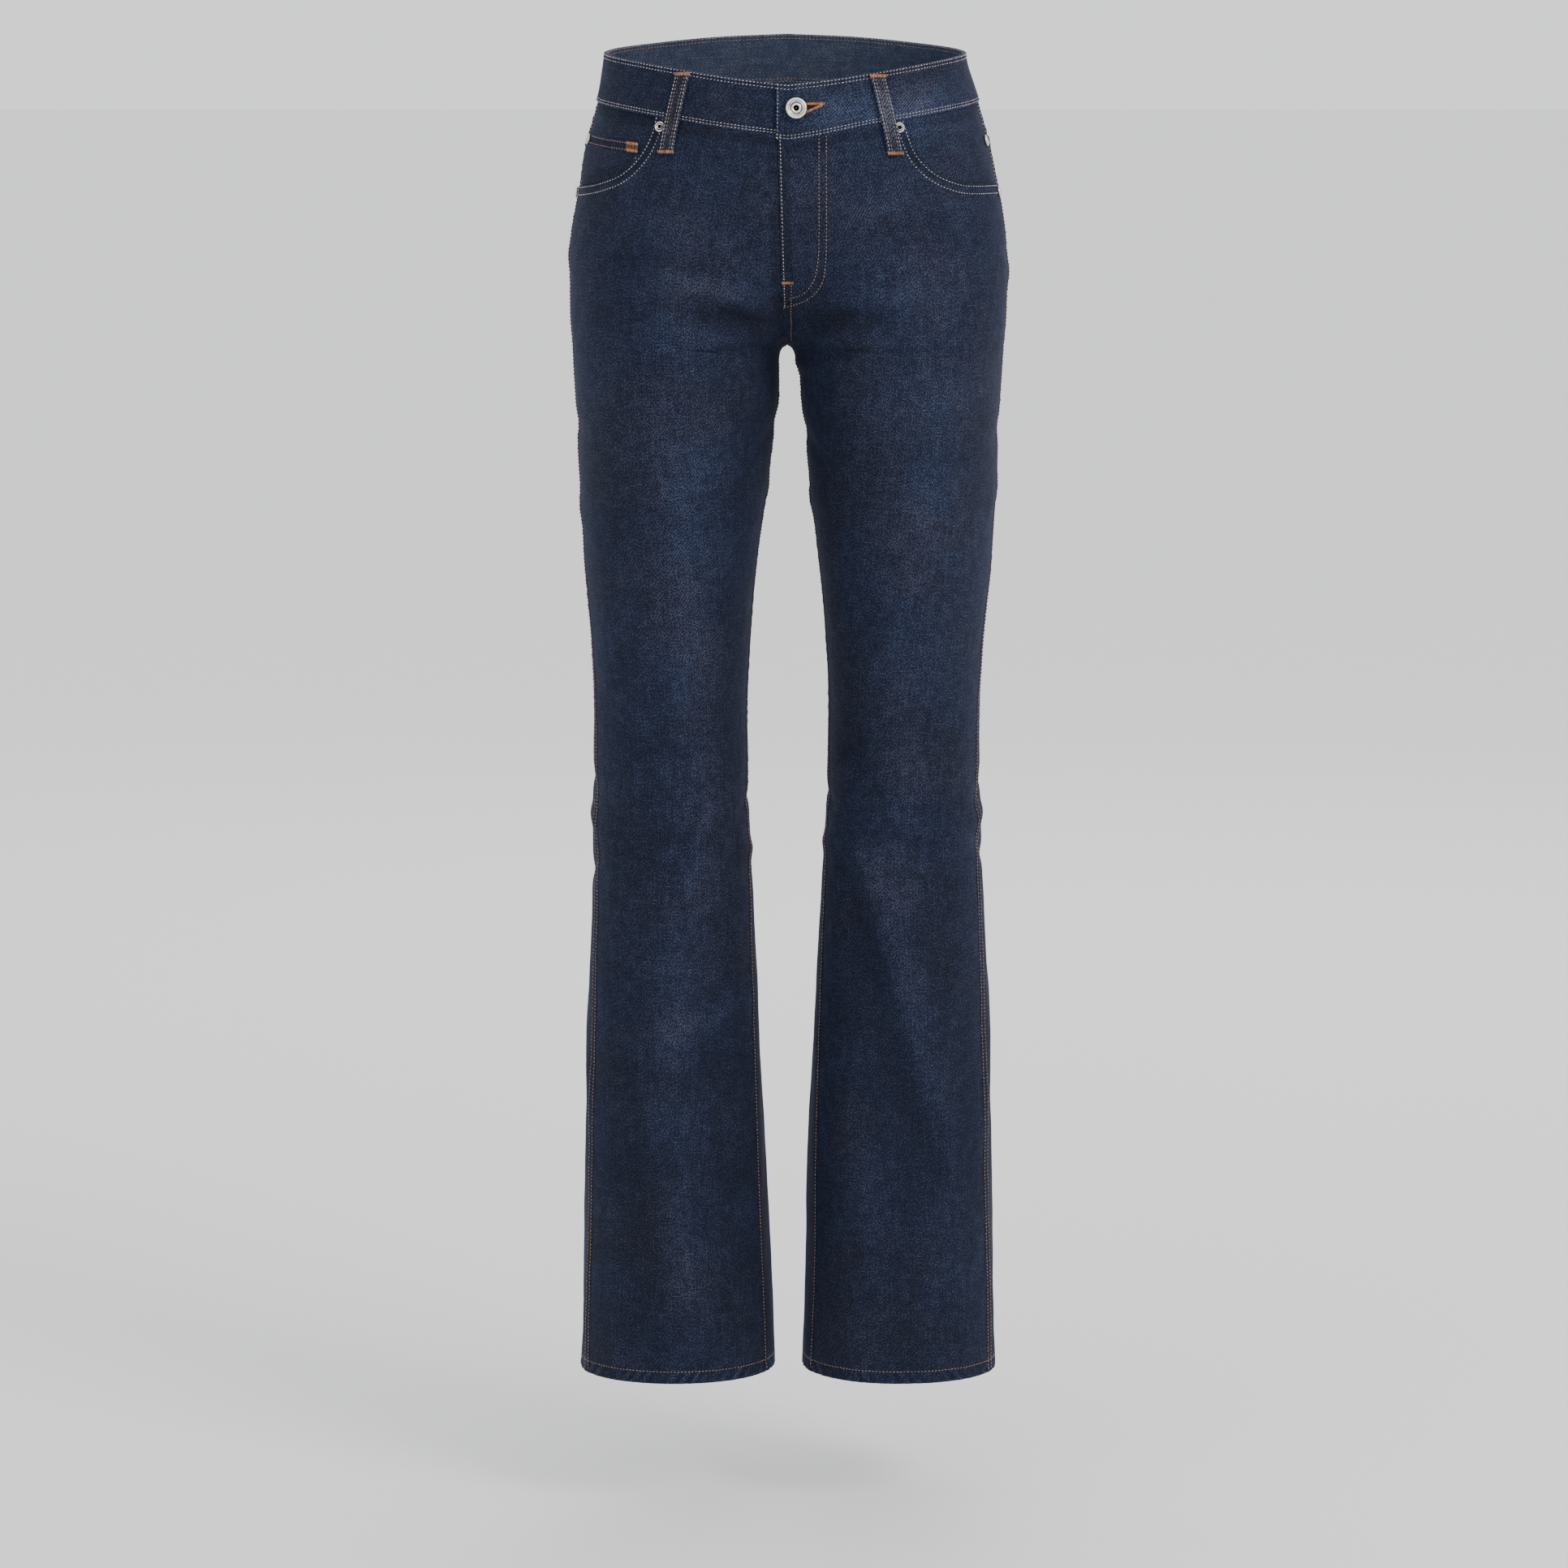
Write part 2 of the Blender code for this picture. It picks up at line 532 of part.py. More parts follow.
def panel_object(name, points, normals, material, collection):
    """A leg panel as a wall, doubled inside the turned hem."""
    obj = sheet_object(name, points, HEM_WALL, material, collection, normals)
    doubled = obj.vertex_groups.new(name="Doubled")
    rows, columns = points.shape[:2]
    doubled.add(list(range((rows - 2) * columns, rows * columns)), 1.0, "REPLACE")
    shell = obj.modifiers["Wall"]
    shell.vertex_group = doubled.name
    shell.thickness_vertex_group = WALL / HEM_WALL
    return obj


def prism(name, outline, cutters):
    """A cutter: an outline of (x, z) points drawn out along Y, right through the jeans."""
    mesh = bpy.data.meshes.new(name)
    bm = bmesh.new()
    face = bm.faces.new([bm.verts.new((x, -PRISM_HALF, z)) for x, z in outline])
    drawn = bmesh.ops.extrude_face_region(bm, geom=[face])
    moved = [item for item in drawn["geom"] if isinstance(item, bmesh.types.BMVert)]
    bmesh.ops.translate(bm, vec=(0.0, 2.0 * PRISM_HALF, 0.0), verts=moved)
    bmesh.ops.recalc_face_normals(bm, faces=bm.faces)
    bm.to_mesh(mesh)
    bm.free()
    obj = bpy.data.objects.new(name, mesh)
    obj.hide_render = True
    obj.display_type = "WIRE"
    cutters.objects.link(obj)
    return obj


def cut(obj, cutter, operation):
    """Cut a wall with a prism, or keep only what lies in it."""
    step = obj.modifiers.new("Outline", "BOOLEAN")
    step.operation = operation
    step.object = cutter


def front_panel(side, material, collection, cutters):
    """A front panel with its pocket mouth, and the facing behind the mouth, cut from one grid of points."""
    label = "left" if side == LEFT else "right"
    start = fly_over if side == LEFT else fly_under
    points, normals = panel_grid(side, FRONT, band_bottom, start)
    panel = panel_object("front_" + label, points, normals, material, collection)
    outline = mouth_outline(side)
    side_x = side * PRISM_SIDE_X
    around = [(side_x, outline[-1][1]), (side_x, PRISM_TOP_Z), (outline[0][0], PRISM_TOP_Z)]
    cut(panel, prism("mouth_cutter_" + label, outline + around, cutters), "DIFFERENCE")
    rows = int((points[:, -1, 2] > FACING_LOW_Z).sum()) + 1
    first = int((abs(points[1, :, 0]) < abs(outline[0][0]) - FACING_LAP).sum())
    inner, out = points[:rows, first:], normals[:rows, first:]
    behind = inner - out * (WALL + LAYER_GAP)
    sheet_object("facing_" + label, behind, WALL, material, collection, out)
    return inner, out


def coin_pocket(inner, out, material, collection, cutters):
    """The small pocket on the right facing, made from the facing's points, down to the mouth's edge."""
    pocket = sheet_object("coin_pocket", inner - out * WALL, COIN_WALL, material, collection, out, 1.0)
    mouth = [(x, z) for x, z in mouth_outline(RIGHT, LAYER_GAP) if COIN_INNER_X < -x < COIN_OUTER_X]
    outline = [(-COIN_INNER_X, COIN_TOP_Z), (-COIN_INNER_X, COIN_LOW_Z)] + mouth
    outline += [(-COIN_OUTER_X, COIN_OUTER_LOW_Z), (-COIN_OUTER_X, COIN_TOP_Z)]
    cut(pocket, prism("coin_cutter", outline, cutters), "INTERSECT")


def back_panel(side, material, collection, cutters):
    """A back panel from the yoke seam to the hem, and its patch pocket, made from the panel's points."""
    label = "left" if side == LEFT else "right"
    points, normals = panel_grid(side, BACK, yoke_seam, seam_start)
    panel_object("back_" + label, points, normals, material, collection)
    rows = int((points[:, 0, 2] > POCKET_TOP_Z - POCKET_HEIGHT).sum()) + 2
    out = normals[:rows, 1:-2]
    over = points[:rows, 1:-2] + out * LAYER_GAP
    pocket = sheet_object("pocket_" + label, over, POCKET_WALL, material, collection, out, 1.0)
    half, low_half = POCKET_WIDTH / 2, POCKET_LOW_WIDTH / 2
    corner_z = POCKET_TOP_Z - POCKET_HEIGHT + POCKET_POINT
    outline = (
        (-half, POCKET_TOP_Z),
        (half, POCKET_TOP_Z),
        (low_half, corner_z),
        (0.0, POCKET_TOP_Z - POCKET_HEIGHT),
        (-low_half, corner_z),
    )
    placed = [(side * (POCKET_MIDDLE_X + x), z) for x, z in outline]
    cut(pocket, prism("pocket_cutter_" + label, placed, cutters), "INTERSECT")


def patch_points(side, face, shares, top_z, low_z, rows, lift):
    """A patch between two edges of heights, at shares of the width between two seams."""
    part = np.linspace(0.0, 1.0, rows)[:, None]
    z = top_z[None, :] + (low_z - top_z)[None, :] * part
    length = Section(side, face, z.ravel()).length.reshape(z.shape)
    distance = SEAM_GAP / 2 + shares[None, :] * (length - SEAM_GAP)
    return cloth_points(side, face, distance, z, lift)


def yoke(side, material, collection):
    """A back yoke between the waistband seam and the yoke seam."""
    shares = np.linspace(0.0, 1.0, 11)
    top = band_bottom(2.0 - shares) - SEAM_GAP / 2
    low = yoke_seam(shares) + SEAM_GAP / 2
    points, normals = patch_points(side, BACK, shares, top, low, 5, 0.0)
    name = "yoke_left" if side == LEFT else "yoke_right"
    return sheet_object(name, points, WALL, material, collection, normals)


def fly_shield(material, collection):
    """The strip behind the fly that closes the front opening."""
    distance = np.linspace(SHIELD_RIGHT, SHIELD_LEFT, 6)[None, :]
    z = np.linspace(band_bottom(0.0) - SEAM_GAP / 2, SHIELD_END_Z, 12)[:, None]
    points, normals = cloth_points(LEFT, FRONT, distance, z, -WALL - SHIELD_GAP)
    return sheet_object("fly_shield", points, WALL, material, collection, normals)


def waistband(material, collection):
    """The doubled strip round the waist, whose left end laps over its right end."""
    waist_length = Section(LEFT, FRONT, [0.0]).length[0]
    over = FLY_LAP_X / waist_length
    under = 4.0 + BAND_LAP / waist_length + over
    stations = np.linspace(over, BAND_SINK_START, 40)
    stations = np.concatenate([stations, np.linspace(BAND_SINK_START, under, 9)[1:]])
    sunk = ease((stations - BAND_SINK_START) / (BAND_SINK_END + over - BAND_SINK_START)) * (BAND_WALL + LAYER_GAP)
    rows = np.linspace(0.0, 1.0, 3)
    points = np.empty((3, len(stations), 3))
    normals = np.empty((3, len(stations), 3))
    for j, quarters in enumerate(stations):
        side, face, share = band_place(quarters)
        z = band_top(quarters) + (band_bottom(quarters) + SEAM_GAP / 2 - band_top(quarters)) * rows
        distance = share * Section(side, face, z).length
        points[:, j], normals[:, j] = cloth_points(side, face, distance, z, BAND_PROUD - sunk[j])
    return sheet_object("waistband", points, BAND_WALL, material, collection, normals)


def band_place(quarters):
    """Side, face and arc share of a place on the waistband, told in quarter turns from the centre front."""
    if quarters <= 1.0:
        return LEFT, FRONT, quarters
    if quarters <= 2.0:
        return LEFT, BACK, 2.0 - quarters
    if quarters <= 3.0:
        return RIGHT, BACK, quarters - 2.0
    return RIGHT, FRONT, 4.0 - quarters


def belt_loop(row, material, collection):
    """A belt loop: a doubled strip that stands off the waistband between its two sewn ends."""
    loop = dict(zip(LOOP_COLUMNS, row))
    along = np.linspace(0.0, 1.0, 13)[:, None]
    z = loop["z_top"] + (loop["z_low"] - loop["z_top"]) * along
    shift = LOOP_WIDTH * np.array([[-0.5, 0.0, 0.5]])
    middle = loop["distance_top"] + (loop["distance_low"] - loop["distance_top"]) * along
    lift = LOOP_TOP_LIFT + (LAYER_GAP - LOOP_TOP_LIFT) * along + LOOP_RISE * np.sin(np.pi * along) ** LOOP_BOW
    distance = middle + shift
    points, normals = cloth_points(loop["side"], loop["face"], distance, z + 0.0 * shift, lift)
    return sheet_object(loop["name"], points, LOOP_WALL, material, collection, normals, 1.0)


def turned_object(name, profile, steps, place, normal, material, collection):
    """A turned piece: a profile of (radius, height) spun round a normal of the cloth."""
    mesh = bpy.data.meshes.new(name)
    mesh.from_pydata([(r, 0.0, h) for r, h in profile], [(i, i + 1) for i in range(len(profile) - 1)], [])
    obj = add_object(name, mesh, material, collection)
    spin = obj.modifiers.new("Turn", "SCREW")
    spin.steps = steps
    spin.render_steps = steps
    spin.use_merge_vertices = True
    spin.merge_threshold = 0.00001
    spin.use_normal_calculate = False
    facing = Vector(normal).to_track_quat("Z", "Y").to_matrix().to_4x4()
    obj.matrix_world = Matrix.Translation(Vector(place)) @ facing
    return obj


def button(material, collection):
    """The shank button, closed through the waistband's lap."""
    radius = BUTTON_DIAMETER / 2
    z = np.array([-BUTTON_DROP])
    place, normal = cloth_points(LEFT, FRONT, np.array([BUTTON_X]), z, BAND_PROUD + LAYER_GAP)
    profile = (
        (0.0, 0.0036),
        (0.0012, 0.0037),
        (0.0022, 0.0046),
        (0.0040, 0.0050),
        (0.0050, 0.0045),
        (0.0066, 0.0046),
        (radius - 0.0005, 0.0044),
        (radius, 0.0034),
        (radius - 0.0006, 0.0026),
        (0.0038, 0.0022),
        (0.0034, 0.0),
        (0.0, 0.0),
    )
    return turned_object("button", profile, BUTTON_STEPS, place[0], normal[0], material, collection)


def rivet(row, material, collection):
    """A small domed rivet with a dimple."""
    spec = dict(zip(RIVET_COLUMNS, row))
    radius = RIVET_DIAMETER / 2
    z = np.array([spec["z"]])
    section = Section(spec["side"], FRONT, z)
    distance = section.distance_to(np.array([spec["across"]]))
    place, normal = cloth_points(spec["side"], FRONT, distance, z, spec["lift"] + LAYER_GAP)
    profile = (
        (0.0, 0.5 * RIVET_HEIGHT),
        (0.3 * radius, 0.55 * RIVET_HEIGHT),
        (0.5 * radius, RIVET_HEIGHT),
        (0.8 * radius, 0.8 * RIVET_HEIGHT),
        (radius, 0.3 * RIVET_HEIGHT),
        (radius, 0.0),
        (0.0, 0.0),
    )
    return turned_object(spec["name"], profile, RIVET_STEPS, place[0], normal[0], material, collection)


def main():
    for obj in list(bpy.data.objects):
        bpy.data.objects.remove(obj, do_unlink=True)
    collection = bpy.data.collections.new("low_rise_jeans")
    bpy.context.scene.collection.children.link(collection)
    denim = make_material("Indigo denim", (0.020, 0.030, 0.068), 0.9)
    metal = make_material("Nickel", (0.62, 0.61, 0.58), 0.32, 1.0)
    cutters = bpy.data.collections.new("cutters")
    bpy.context.scene.collection.children.link(cutters)
    facing_points = {}
    for side in (LEFT, RIGHT):
        facing_points[side] = front_panel(side, denim, collection, cutters)
        back_panel(side, denim, collection, cutters)
        yoke(side, denim, collection)
    coin_pocket(*facing_points[RIGHT], denim, collection, cutters)
    waistband(denim, collection)
    fly_shield(denim, collection)
    for row in LOOPS:
        belt_loop(row, denim, collection)
    button(metal, collection)
    for row in RIVETS:
        rivet(row, metal, collection)


main()
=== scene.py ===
"""Low-rise jeans in dark rinsed denim, hollow and in worn form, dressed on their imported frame.

Metres, +Z up, the front faces -Y and +X is the wearer's left. The cloth is made from the frame's own form:
a place on it is a side, a face, a distance along the cloth from the rise seam or the inseam, and a height.
"""

import math
from collections import namedtuple
from functools import partial

import bmesh
import bpy
import numpy as np
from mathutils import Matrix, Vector


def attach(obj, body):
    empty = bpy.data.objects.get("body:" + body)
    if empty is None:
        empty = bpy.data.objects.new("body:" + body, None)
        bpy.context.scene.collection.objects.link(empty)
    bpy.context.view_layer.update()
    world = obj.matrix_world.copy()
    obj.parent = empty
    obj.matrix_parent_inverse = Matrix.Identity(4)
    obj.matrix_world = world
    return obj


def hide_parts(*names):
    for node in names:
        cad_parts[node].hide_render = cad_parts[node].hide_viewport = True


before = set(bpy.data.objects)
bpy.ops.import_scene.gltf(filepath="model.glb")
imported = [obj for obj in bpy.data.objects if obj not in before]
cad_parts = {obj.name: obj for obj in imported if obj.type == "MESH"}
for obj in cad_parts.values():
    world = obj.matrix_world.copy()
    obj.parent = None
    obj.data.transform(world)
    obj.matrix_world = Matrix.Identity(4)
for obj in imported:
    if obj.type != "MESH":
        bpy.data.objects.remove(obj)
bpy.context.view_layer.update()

LEFT, RIGHT = 1, -1
FRONT, BACK = -1, 1
SIDE = {LEFT: "left", RIGHT: "right"}
FACE = {FRONT: "front", BACK: "back"}

# Cloth: wall, gap at a seam and between layers, radius of a turned edge
WALL = 0.0012
SEAM_GAP = -0.0001
LAYER_GAP = 0.0003
EDGE_RADIUS = 0.0008

# Legs and crotch, as in the frame
HEM_Z = -1.0575
HEM_FOLD = 0.011
HEM_WALL = 0.0024
CROTCH_Z = -0.2105
CROTCH_Y = 0.008
SADDLE_HALF = 0.0070
ARCH_HEIGHT = 0.012
FRONT_RISE_CURVE = 0.100
BACK_RISE_CURVE = 0.130

# Waistband, as in the frame
BAND_HEIGHT = 0.0403
BAND_WALL = 0.0026
BAND_PROUD = 0.0009
BAND_LAP = 0.030
LAP_DROP = 0.0040
LAP_DROP_END = 0.34
BAND_SINK_START = 3.82
BAND_SINK_END = 3.99
BAND_LEAN = 0.03

# Waistband in the finished cloth: radius of its edges, reach of its puckers, and how the lap's end stands up
BAND_EDGE = 0.0012
BAND_PUCKER_REACH = 0.008
LAP_STAND = 0.0004
LAP_STAND_END = 0.03

# Fly, as in the frame, and how its edge stands up in the finished cloth beside a dip in the right front
FLY_LAP_X = -0.0085
FLY_LOW_X = -0.0040
FLY_END_Z = -0.176
FLY_RETURN = 0.020
FLY_STAND = 0.0010
FLY_STAND_WIDTH = 0.030
FLY_STAND_END = 0.020
FLY_DIP = 0.6 * FLY_STAND
FLY_DIP_WIDTH = 0.012
FLY_STRIP_START = 0.004
SHIELD_RIGHT = -0.020
SHIELD_LEFT = 0.014
SHIELD_END_Z = -0.168
SHIELD_GAP = 0.0008
SHIELD_SINK = 0.0004
SHIELD_COLUMNS = 16

# Belt loops and button, as in the frame
LOOP_WIDTH = 0.012
LOOP_WALL = 0.0016
LOOP_RISE = 0.0024
LOOP_BOW = 0.6
LOOP_TOP_LIFT = 0.0013
BUTTON_X = 0.007
BUTTON_DROP = 0.019

# Belt loops in the finished cloth: radius of their edges, the groove down their middle, how worn they are, the
# distance of their stitches from the middle, and the shares of their length where they are tacked down
LOOP_EDGE = 0.0009
LOOP_GROOVE = 0.0003
LOOP_GROOVE_WIDTH = 0.0008
LOOP_WEAR = 0.1
LOOP_EDGE_ROW = 0.0047
LOOP_FOLD_ROW = 0.0027
LOOP_TACKS = (0.022, 0.975)

# Back pockets, yoke, coin pocket and facings, as in the frame, with the hem of the back pockets, and the highest
# place of the coin pocket's hem and the gap beside it, from the facing's end
POCKET_WIDTH = 0.122
POCKET_LOW_WIDTH = 0.100
POCKET_HEIGHT = 0.150
POCKET_POINT = 0.022
POCKET_TOP_Z = -0.066
POCKET_MIDDLE_X = 0.084
POCKET_WALL = 0.0014
YOKE_BACK_Z = -0.060
YOKE_SIDE_Z = -0.050
POCKET_LIFT = LAYER_GAP + POCKET_WALL
POCKET_HEM = 0.0135
POCKET_HEM_LIFT = 0.0004
COIN_WALL = 0.0010
COIN_TOP_Z = -0.0395
COIN_INNER_X = 0.1185
COIN_RAISE = 0.0015
COIN_FAR = 0.006
COIN_GAP = 0.004
FACING_LAP = 0.010
FACING_LOW_Z = -0.090

ARC_SAMPLES = 49
SLOPE_STEP = 0.0015
INNER_REACH = 0.080
FOLD_END = 0.18
FOLD_TURN = 1.3

# Seams: width and height of the felled strip beside a seam, and its two rows of stitches
FELL_WIDTH = 0.0094
FELL_HEIGHT = 0.0005
ROW_NEAR = 0.0017
ROW_FAR = 0.0076
# Puckers: the feed of the machine gathers the cloth along a seam in small uneven waves
PUCKER_PITCH = 0.0085
PUCKER_HEIGHT = 0.00032
PUCKER_REACH = 0.011
PUCKER_WANDER = 0.061
PUCKER_SWELL = 0.043
ROPING_PITCH = 0.0095
ROPING_HEIGHT = 0.00045
ROPING_SLANT = 0.8
ROPING_WEAR = 2.6

# Grid lines close to an edge, as distances from it
EDGE_LINES = (0.0, 0.00025, 0.0006, 0.0010, 0.0018, 0.0034, 0.0052, 0.0072, 0.0086, 0.0094, 0.0104)
HEM_LINES = (0.0125, 0.0115, 0.0108, 0.0100, 0.0085, 0.0065, 0.0045, 0.0028, 0.0016, 0.0008, 0.0003, 0.0)
PANEL_COLUMNS = 64
PANEL_ROWS = 300
EDGE_SAMPLES = 260
# Leg panels' rows: how far they bend, and the shares of the height where that starts, grows and leaves the top edge
ROW_LEAN = 0.5
ROW_LEAN_START = 0.10
ROW_LEAN_SPAN = 0.25
TOP_SPAN = 0.16
# Angle in degrees from which an edge of cloth or metal is shaded as sharp
CLOTH_SHARP = 55.0
METAL_SHARP = 40.0

# Waves of washed cloth, from long to short, and the height of each
UNEVEN_WAVES = (0.062, 0.051, 0.043, 0.036, 0.029, 0.024)
UNEVEN_HEIGHT = 0.00007
# Hem: height of its row of stitches, the groove that the row draws, and the height over which its fold ends
HEM_ROW = 0.0102
HEM_GROOVE = 0.0004
HEM_GROOVE_WIDTH = 0.0013
HEM_STEP = 0.002
# How far folds, puckers and edges change the cloth's fading
WEAR_BASE = 0.22
WEAR_ON_FOLDS = 28.0
FOLD_WEAR_MOST = 0.2
WEAR_ON_PUCKERS = 0.10
EDGE_WEAR = 0.25
STRIP_DYE = 0.14
# Width over which a strip, a worn edge or the hem of a pocket changes
STEP = 0.0012
# Facings lie a little deeper than in the frame, clear of the mouth's turned edge
MOUTH_SINK = 0.0003
FACING_LIFT = -WALL - LAYER_GAP - MOUTH_SINK
COIN_LIFT = -WALL - MOUTH_SINK + COIN_WALL
# Height of the middle line of a stitch over the cloth, and of tacks on thick and flat places
ON_CLOTH = 0.00015
TACK_LIFT = 0.0004
FLAT_TACK_LIFT = 0.0003

# Sewing: how far rows keep from the waistband's seam and the hem's edge, and the share of a back pocket's half width
# at which it is tacked
ROW_START = 0.001
ROW_END = 0.004
POCKET_TACK = 0.94
# Sewing rows: depths of the waistband's rows and distances of the pockets' rows
BAND_ROWS = (0.0011, 0.0038, 0.0366, 0.0387)
POCKET_HEM_ROWS = (0.0030, 0.0130)
COIN_ROWS = (0.0016, 0.0070)
COIN_TILT = 0.10
# Rows of the fly's left front as (x, z): the two of the J, and the one below the fly's end
FLY_ROWS = (
    ((0.0250, -0.0400), (0.0250, -0.0800), (0.0250, -0.1186), (0.0244, -0.1378), (0.0199, -0.1563),
     (0.0129, -0.1647), (0.0026, -0.1685)),
    ((0.0307, -0.0407), (0.0308, -0.0802), (0.0308, -0.1250), (0.0302, -0.1410), (0.0276, -0.1557),
     (0.0199, -0.1666), (0.0096, -0.1724), (-0.0026, -0.1756)),
    ((0.0032, -0.1557), (0.0034, -0.1650), (0.0034, -0.1756), (0.0034, -0.1900), (0.0034, -0.2040)),
)

# Buttonhole: height and slope of its line, its end, its half opening and the half width of its thread
HOLE_Z = -0.0184
HOLE_SLOPE = -0.19
HOLE_END_X = 0.0282
HOLE_HALF = 0.0040
HOLE_LIP = 0.0004

# Turned metal as (radius, height, patina and painted shade), and where the dark recess in its middle ends
# The third value darkens grooves, recess and underside: partly patina, partly painted shade
BUTTON_PROFILE = (
    (0.0, 0.0041, 0.4), (0.0005, 0.0040, 0.5), (0.0009, 0.0034, 1.0), (0.0014, 0.0030, 1.0), (0.0020, 0.0031, 1.0),
    (0.0022, 0.0042, 0.8), (0.0024, 0.0048, 0.1), (0.0029, 0.0051, 0.0), (0.0035, 0.0051, 0.0),
    (0.0039, 0.0049, 0.3), (0.0042, 0.0045, 0.95), (0.0047, 0.0045, 0.9), (0.0050, 0.0047, 0.35),
    (0.0057, 0.0048, 0.25), (0.0060, 0.0046, 0.75), (0.0063, 0.0046, 0.65), (0.0066, 0.0048, 0.1),
    (0.0072, 0.0049, 0.0), (0.0078, 0.0047, 0.0), (0.0083, 0.0042, 0.2), (0.0085, 0.0036, 0.5),
    (0.0083, 0.0030, 0.8), (0.0078, 0.0027, 1.0), (0.0038, 0.0022, 1.0), (0.0034, 0.0016, 1.0), (0.0034, 0.0, 1.0),
    (0.0, 0.0, 1.0),
)
BUTTON_RECESS = 5
RIVET_PROFILE = (
    (0.0, 0.0008, 1.0), (0.0008, 0.0007, 1.0), (0.0013, 0.0009, 1.0), (0.0015, 0.0015, 0.3), (0.0019, 0.0018, 0.0),
    (0.0022, 0.0016, 0.3), (0.0024, 0.0011, 0.95), (0.0029, 0.0011, 0.9), (0.0032, 0.0015, 0.2),
    (0.0036, 0.0017, 0.0), (0.0040, 0.0014, 0.1), (0.0043, 0.0010, 0.4), (0.0045, 0.0005, 0.8), (0.0045, 0.0, 1.0),
    (0.0, 0.0, 1.0),
)
RIVET_RECESS = 3

# Twill as drawn: width and height of one repeat of its rows, and of a point of weft
TWILL_ACROSS = 0.0024
TWILL_ALONG = 0.0030
POINT_ACROSS = 0.0010
POINT_ALONG = 0.0013

# The camera that sees the jeans as the photograph does: lens and sensor in mm, and degrees looked down
CAMERA_PLACE = (-0.0026, -4.25, 0.02)
CAMERA_DOWN = 7.9
CAMERA_LENS = 120.0
CAMERA_SENSOR = 36.0
CAMERA_FAR = 300.0

# Floor, world and lights as (name, place, aim, size, power, colour)
FLOOR_Z = HEM_Z - 0.11
FLOOR_HALF = 120.0
WORLD_STRENGTH = 1.36
LIGHTS = (
    ("key", (2.6, -2.6, 2.3), (0.0, 0.0, -0.45), (1.6, 1.6), 110.0, "#fff9f2"),
    ("fill", (-2.8, -3.2, 0.9), (0.0, 0.0, -0.5), (2.2, 2.2), 12.0, "#eef3ff"),
    ("rim", (0.6, 3.2, 1.8), (0.0, 0.0, -0.4), (2.0, 2.0), 30.0, "#ffffff"),
)

Loop = namedtuple("Loop", "name side face distance_top z_top distance_low z_low")
LOOPS = tuple(Loop(*row) for row in (
    ("loop_front_left", LEFT, FRONT, 0.0715, 0.0076, 0.0865, -0.0560),
    ("loop_front_right", RIGHT, FRONT, 0.0835, 0.0092, 0.0975, -0.0550),
    ("loop_side_left", LEFT, BACK, 0.1560, 0.0262, 0.1600, -0.0370),
    ("loop_side_right", RIGHT, BACK, 0.1560, 0.0262, 0.1600, -0.0370),
    ("loop_back", LEFT, BACK, 0.0064, 0.0397, 0.0064, -0.0235),
))
# Rivets by distance from the middle plane and height, and how far out the cloth lies that each sits on
Rivet = namedtuple("Rivet", "name side across z lift")
RIVETS = tuple(Rivet(*row) for row in (
    ("rivet_mouth_right", RIGHT, 0.1005, -0.0335, 0.0),
    ("rivet_mouth_left", LEFT, 0.0885, -0.0340, 0.0),
    ("rivet_side_right", RIGHT, 0.1595, -0.0440, COIN_WALL - WALL),
    ("rivet_side_left", LEFT, 0.1612, -0.0450, -WALL - LAYER_GAP),
    ("rivet_low_right", RIGHT, 0.1690, -0.0870, 0.0),
    ("rivet_low_left", LEFT, 0.1700, -0.0860, 0.0),
))

# Half widths by height: outer and inner edge of the wearer's right and left side
OUTLINE = (
    ("z", "outer_right", "outer_left", "inner_right", "inner_left"),
    (0.045, 0.144, 0.1425, 0.0, 0.0), (0.021, 0.147, 0.1435, 0.0, 0.0),
    (-0.012, 0.1525, 0.1535, 0.0, 0.0), (-0.052, 0.1635, 0.1645, 0.0, 0.0),
    (-0.089, 0.1688, 0.1715, 0.0, 0.0), (-0.12, 0.1738, 0.176, 0.0, 0.0),
    (-0.15, 0.1752, 0.1775, 0.0, 0.0), (-0.19, 0.175, 0.1765, 0.0, 0.0),
    (-0.2105, 0.1738, 0.175, 0.0, 0.0), (-0.232, 0.1726, 0.1738, 0.006, 0.01),
    (-0.25, 0.1716, 0.1728, 0.0068, 0.0114), (-0.285, 0.17, 0.1712, 0.0112, 0.0152),
    (-0.339, 0.167, 0.1683, 0.0185, 0.0205), (-0.392, 0.1645, 0.1655, 0.0256, 0.0268),
    (-0.445, 0.16, 0.1603, 0.0296, 0.0315), (-0.5, 0.1582, 0.1577, 0.0325, 0.0338),
    (-0.552, 0.1588, 0.1578, 0.032, 0.0328), (-0.606, 0.1594, 0.1594, 0.0307, 0.031),
    (-0.66, 0.1604, 0.1616, 0.0281, 0.028), (-0.714, 0.1625, 0.1642, 0.0254, 0.0248),
    (-0.796, 0.165, 0.1673, 0.0214, 0.0203), (-0.878, 0.1674, 0.1697, 0.0172, 0.0164),
    (-0.96, 0.1697, 0.172, 0.0134, 0.0154), (-1.0575, 0.172, 0.1735, 0.01, 0.0125),
)
